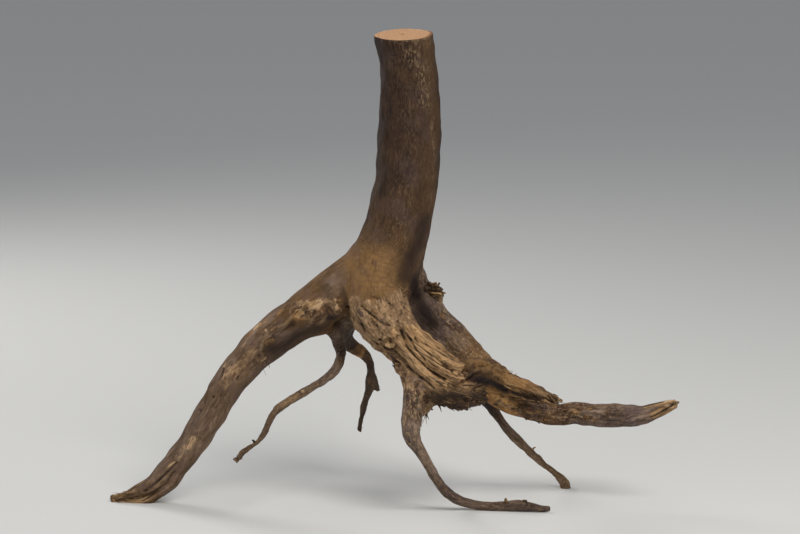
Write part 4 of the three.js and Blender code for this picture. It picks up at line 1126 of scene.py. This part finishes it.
# Hair roots: the finest dried rootlets that are left, as thin as thread and loosely curved. Each grows out of
# the wood at its first place, and lies back on it at its last one where that is near enough.
HAIR_RADIUS = 0.0006
HAIR_STEP = 0.0015
LYING = 0.004  # a last place nearer to the wood than this lies on it
SET_IN = 0.0005
HAIRS = [
    [(0.0733, 0.006, 0.1409), (0.0684, -0.01, 0.1393), (0.0643, -0.03, 0.1359), (0.063, -0.049, 0.1323)],
    [(0.024, -0.06, 0.1045), (0.0285, -0.062, 0.0975), (0.0292, -0.061, 0.0905), (0.0255, -0.06, 0.084)],
    [(-0.056, -0.027, 0.184), (-0.053, -0.031, 0.18), (-0.048, -0.03, 0.1765)],
    [(-0.1135, -0.029, 0.138), (-0.1095, -0.0305, 0.135), (-0.1085, -0.03, 0.131)],
    [(0.006, -0.032, 0.207), (0.011, -0.033, 0.2035), (0.017, -0.022, 0.205)],
    [(0.005, -0.031, 0.201), (0.012, -0.029, 0.196), (0.019, -0.012, 0.199)],
    [(0.009, -0.031, 0.2), (0.015, -0.025, 0.202), (0.0185, -0.015, 0.196)],
    [(0.0985, -0.011, 0.124), (0.104, -0.012, 0.1262), (0.11, -0.013, 0.1235)],
]


def thread(line):
    """Points on a smooth curve through a few places, whose ends are set into the wood."""
    fine = smooth_line([tuple(p) + (0,) for p in line], step=HAIR_STEP)[:, :3]
    course = [Vector(p) for p in fine]
    for end in (0, -1):
        touch, outward, _, gap = body_surface.find_nearest(course[end])
        if end == 0 or gap < LYING:
            course[end] = touch - outward * SET_IN
    return course


vertices, faces, grains = [], [], []
for line in HAIRS:
    strand(thread(line), HAIR_RADIUS, vertices, faces, grains)
new_piece("hair_roots", vertices, faces, grains, fibre_material)

# Spurs: stubs of side rootlets that broke off, and the fibrous ends of broken branches. Each has the place at
# its foot, the place at its end, the radius of a strand, the number of strands and how far they spread.
SPURS = [
    ((0.104, -0.0315, 0.008), (0.1035, -0.033, 0.0125), 0.0019, 1, 0),
    ((0.119, -0.0335, 0.008), (0.1215, -0.0365, 0.0115), 0.002, 1, 0),
    ((0.129, 0.048, 0.038), (0.1335, 0.047, 0.0415), 0.0013, 1, 0),
    ((-0.08, -0.039, 0.109), (-0.0825, -0.0415, 0.1115), 0.0013, 1, 0),
    ((-0.1205, -0.0745, 0.0735), (-0.1222, -0.0765, 0.0755), 0.0015, 1, 0),
    ((-0.134, -0.0795, 0.059), (-0.1372, -0.0792, 0.059), 0.0015, 2, 0.001),
    ((0.162, 0.058, 0.006), (0.1665, 0.056, 0.0045), 0.0016, 1, 0),
    ((0.033, 0.017, 0.1975), (0.0415, 0.015, 0.1968), 0.0018, 20, 0.0024),
    ((0.036, 0.017, 0.193), (0.0448, 0.015, 0.1908), 0.0018, 18, 0.002),
    ((0.14, -0.0205, 0.103), (0.1505, -0.0215, 0.1), 0.0013, 9, 0.0019),
    ((0.136, -0.0215, 0.0995), (0.146, -0.022, 0.0968), 0.0009, 6, 0.001),
    ((0.112, -0.004, 0.1005), (0.142, -0.002, 0.0935), 0.0017, 5, 0.0014),
]
SPUR_BEND = 0.25  # of its radius
SPUR_TIP = 0.55
vertices, faces, grains = [], [], []
for foot, end, radius, count, spread in SPURS:
    foot, end = Vector(foot), Vector(end)
    for _ in range(count):
        a, b = foot + jitter(spread), end + jitter(spread)
        bend = radius * SPUR_BEND
        course = [a, a.lerp(b, 0.4) + jitter(bend), a.lerp(b, 0.75) + jitter(bend), b]
        strand(course, radius * chance.uniform(0.8, 1.2), vertices, faces, grains, tip=SPUR_TIP)
new_piece("spurs", vertices, faces, grains, fibre_material)

# Loose scales of bark: small curled plates along the edges where the bark has broken away. Each row has the
# root, the number of scales, their length and width, how far the free end lifts, and the line of places.
SCALES = [
    ("left_root", 5, 0.0075, 0.004, 0.0008,
     [(-0.114, -0.029, 0.149), (-0.107, -0.029, 0.1635), (-0.097, -0.03, 0.169), (-0.087, -0.028, 0.182)]),
    ("left_root", 9, 0.0055, 0.003, 0.0016,
     TORN_SCAR),
    ("left_root", 5, 0.006, 0.0026, 0.001,
     CRUSTY_BEND),
    ("left_root", 5, 0.007, 0.0034, 0.0018,
     [(-0.056, -0.028, 0.192), (-0.047, -0.031, 0.186), (-0.04, -0.028, 0.18)]),
    ("front_root", 8, 0.007, 0.0036, 0.0014,
     [(-0.026, -0.044, 0.188), (-0.012, -0.051, 0.18), (0.002, -0.051, 0.173)]),
    ("front_root", 16, 0.006, 0.0034, 0.0018,
     [(-0.006, -0.047, 0.146), (0.01, -0.052, 0.13), (0.026, -0.058, 0.116), (0.042, -0.059, 0.104)]),
    ("front_root", 16, 0.0065, 0.0034, 0.0024,
     [(0.044, -0.056, 0.101), (0.062, -0.053, 0.101), (0.082, -0.04, 0.105)]),
    ("right_root", 16, 0.006, 0.0034, 0.0014,
     [(0.0985, -0.0059, 0.095), (0.1122, -0.003, 0.0885), (0.126, 0.0012, 0.083), (0.14, 0.004, 0.078)]),
    ("right_root", 14, 0.006, 0.0032, 0.0012,
     SCALY_STRETCH),
    ("back_root", 12, 0.007, 0.003, 0.0008, [(0.044, 0.013, 0.178), (0.06, 0.01, 0.156)]),
    ("front_leg", 10, 0.007, 0.0036, 0.0016,
     [(0.03, -0.054, 0.102), (0.024, -0.06, 0.092), (0.028, -0.054, 0.088)]),
]
SCALE_ROWS = 6
SCALE_COLUMNS = 4
SCALE_THICKNESS = 0.0004
SCALE_SCATTER = 0.0030
SCALE_CLEARANCE = 0.00025  # of its upper face where it still clings
SCALE_TUCK = 0.0005  # how far its rooted edge dips into the bark
CLINGING = 0.3  # share of its length
SCALE_STRAY = 0.35  # of its direction from the grain
SCALE_RISE = 0.7  # share of the lift that its free end reaches
vertices, faces, grains = [], [], []
for root, count, length, width, lift, line in SCALES:
    for _ in range(count):
        start, outward, _, _ = body_surface.find_nearest(somewhere_on(line) + jitter(SCALE_SCATTER))
        way = (grain_way(root, start) * chance.choice([-1, 1]) + jitter(SCALE_STRAY)).normalized()
        across = outward.cross(way).normalized()
        size = chance.uniform(0.6, 1.3)
        shift = chance.random(3)
        first = len(vertices)
        edge = chance.uniform(0.6, 1.1, (SCALE_ROWS, 2))
        for under in (0, 1):
            for i in range(SCALE_ROWS):
                for j in range(SCALE_COLUMNS):
                    u = (i / (SCALE_ROWS - 1) - 0.4) * length * size
                    v = (j / (SCALE_COLUMNS - 1) - 0.5) * width * size * edge[i, int(j * 2 >= SCALE_COLUMNS)]
                    place, up, _, _ = body_surface.find_nearest(start + way * u + across * v)
                    free = max(0, i / (SCALE_ROWS - 1) - CLINGING) ** 2 * 2
                    height = SCALE_CLEARANCE + lift * size * free * SCALE_RISE
                    height -= SCALE_THICKNESS * under
                    height -= SCALE_TUCK * (i == 0)
                    vertices.append(Vector(np.clip(place + (up * 0.3 + outward * 0.7) * height, low, high)))
                    grains.append((u + shift[0], v + shift[1], shift[2]))
        # Its upper face and its under face, and then the rim that joins them
        size_of_side = SCALE_ROWS * SCALE_COLUMNS
        for i in range(SCALE_ROWS - 1):
            for j in range(SCALE_COLUMNS - 1):
                a = first + i * SCALE_COLUMNS + j
                top = (a, a + SCALE_COLUMNS, a + SCALE_COLUMNS + 1, a + 1)
                faces.append(top)
                faces.append(tuple(size_of_side + k for k in reversed(top)))
        ring = [i * SCALE_COLUMNS for i in range(SCALE_ROWS)]
        ring += [(SCALE_ROWS - 1) * SCALE_COLUMNS + j for j in range(1, SCALE_COLUMNS)]
        ring += [i * SCALE_COLUMNS + SCALE_COLUMNS - 1 for i in range(SCALE_ROWS - 2, -1, -1)]
        ring += [j for j in range(SCALE_COLUMNS - 2, 0, -1)]
        for a, b in zip(ring, ring[1:] + ring[:1]):
            faces.append((first + b, first + a, first + size_of_side + a, first + size_of_side + b))
scale_material, tree, shader = new_material("bark_scale", Specular_IOR_Level=0.25, Roughness=0.9)
grain_at = attribute(tree, "grain").outputs["Vector"]
scale_tone = noise(tree, grain_at, 5, detail=1)
brown = finish(tree, grain_at, bark_group, (120, 96, 74), (90, 70, 54), (62, 47, 37))
tan = finish(tree, grain_at, crust_group, (158, 126, 86), (118, 90, 62), (74, 55, 41))
scale_colour = blend(tree, between(tree, scale_tone, 0.50, 0.64), brown["Color"], tan["Color"])
plug(tree, shader.inputs["Base Color"], shaded(tree, scale_colour))
bump(tree, shader, tan["Height"], 0.0004)
new_piece("bark_scales", vertices, faces, grains, scale_material)
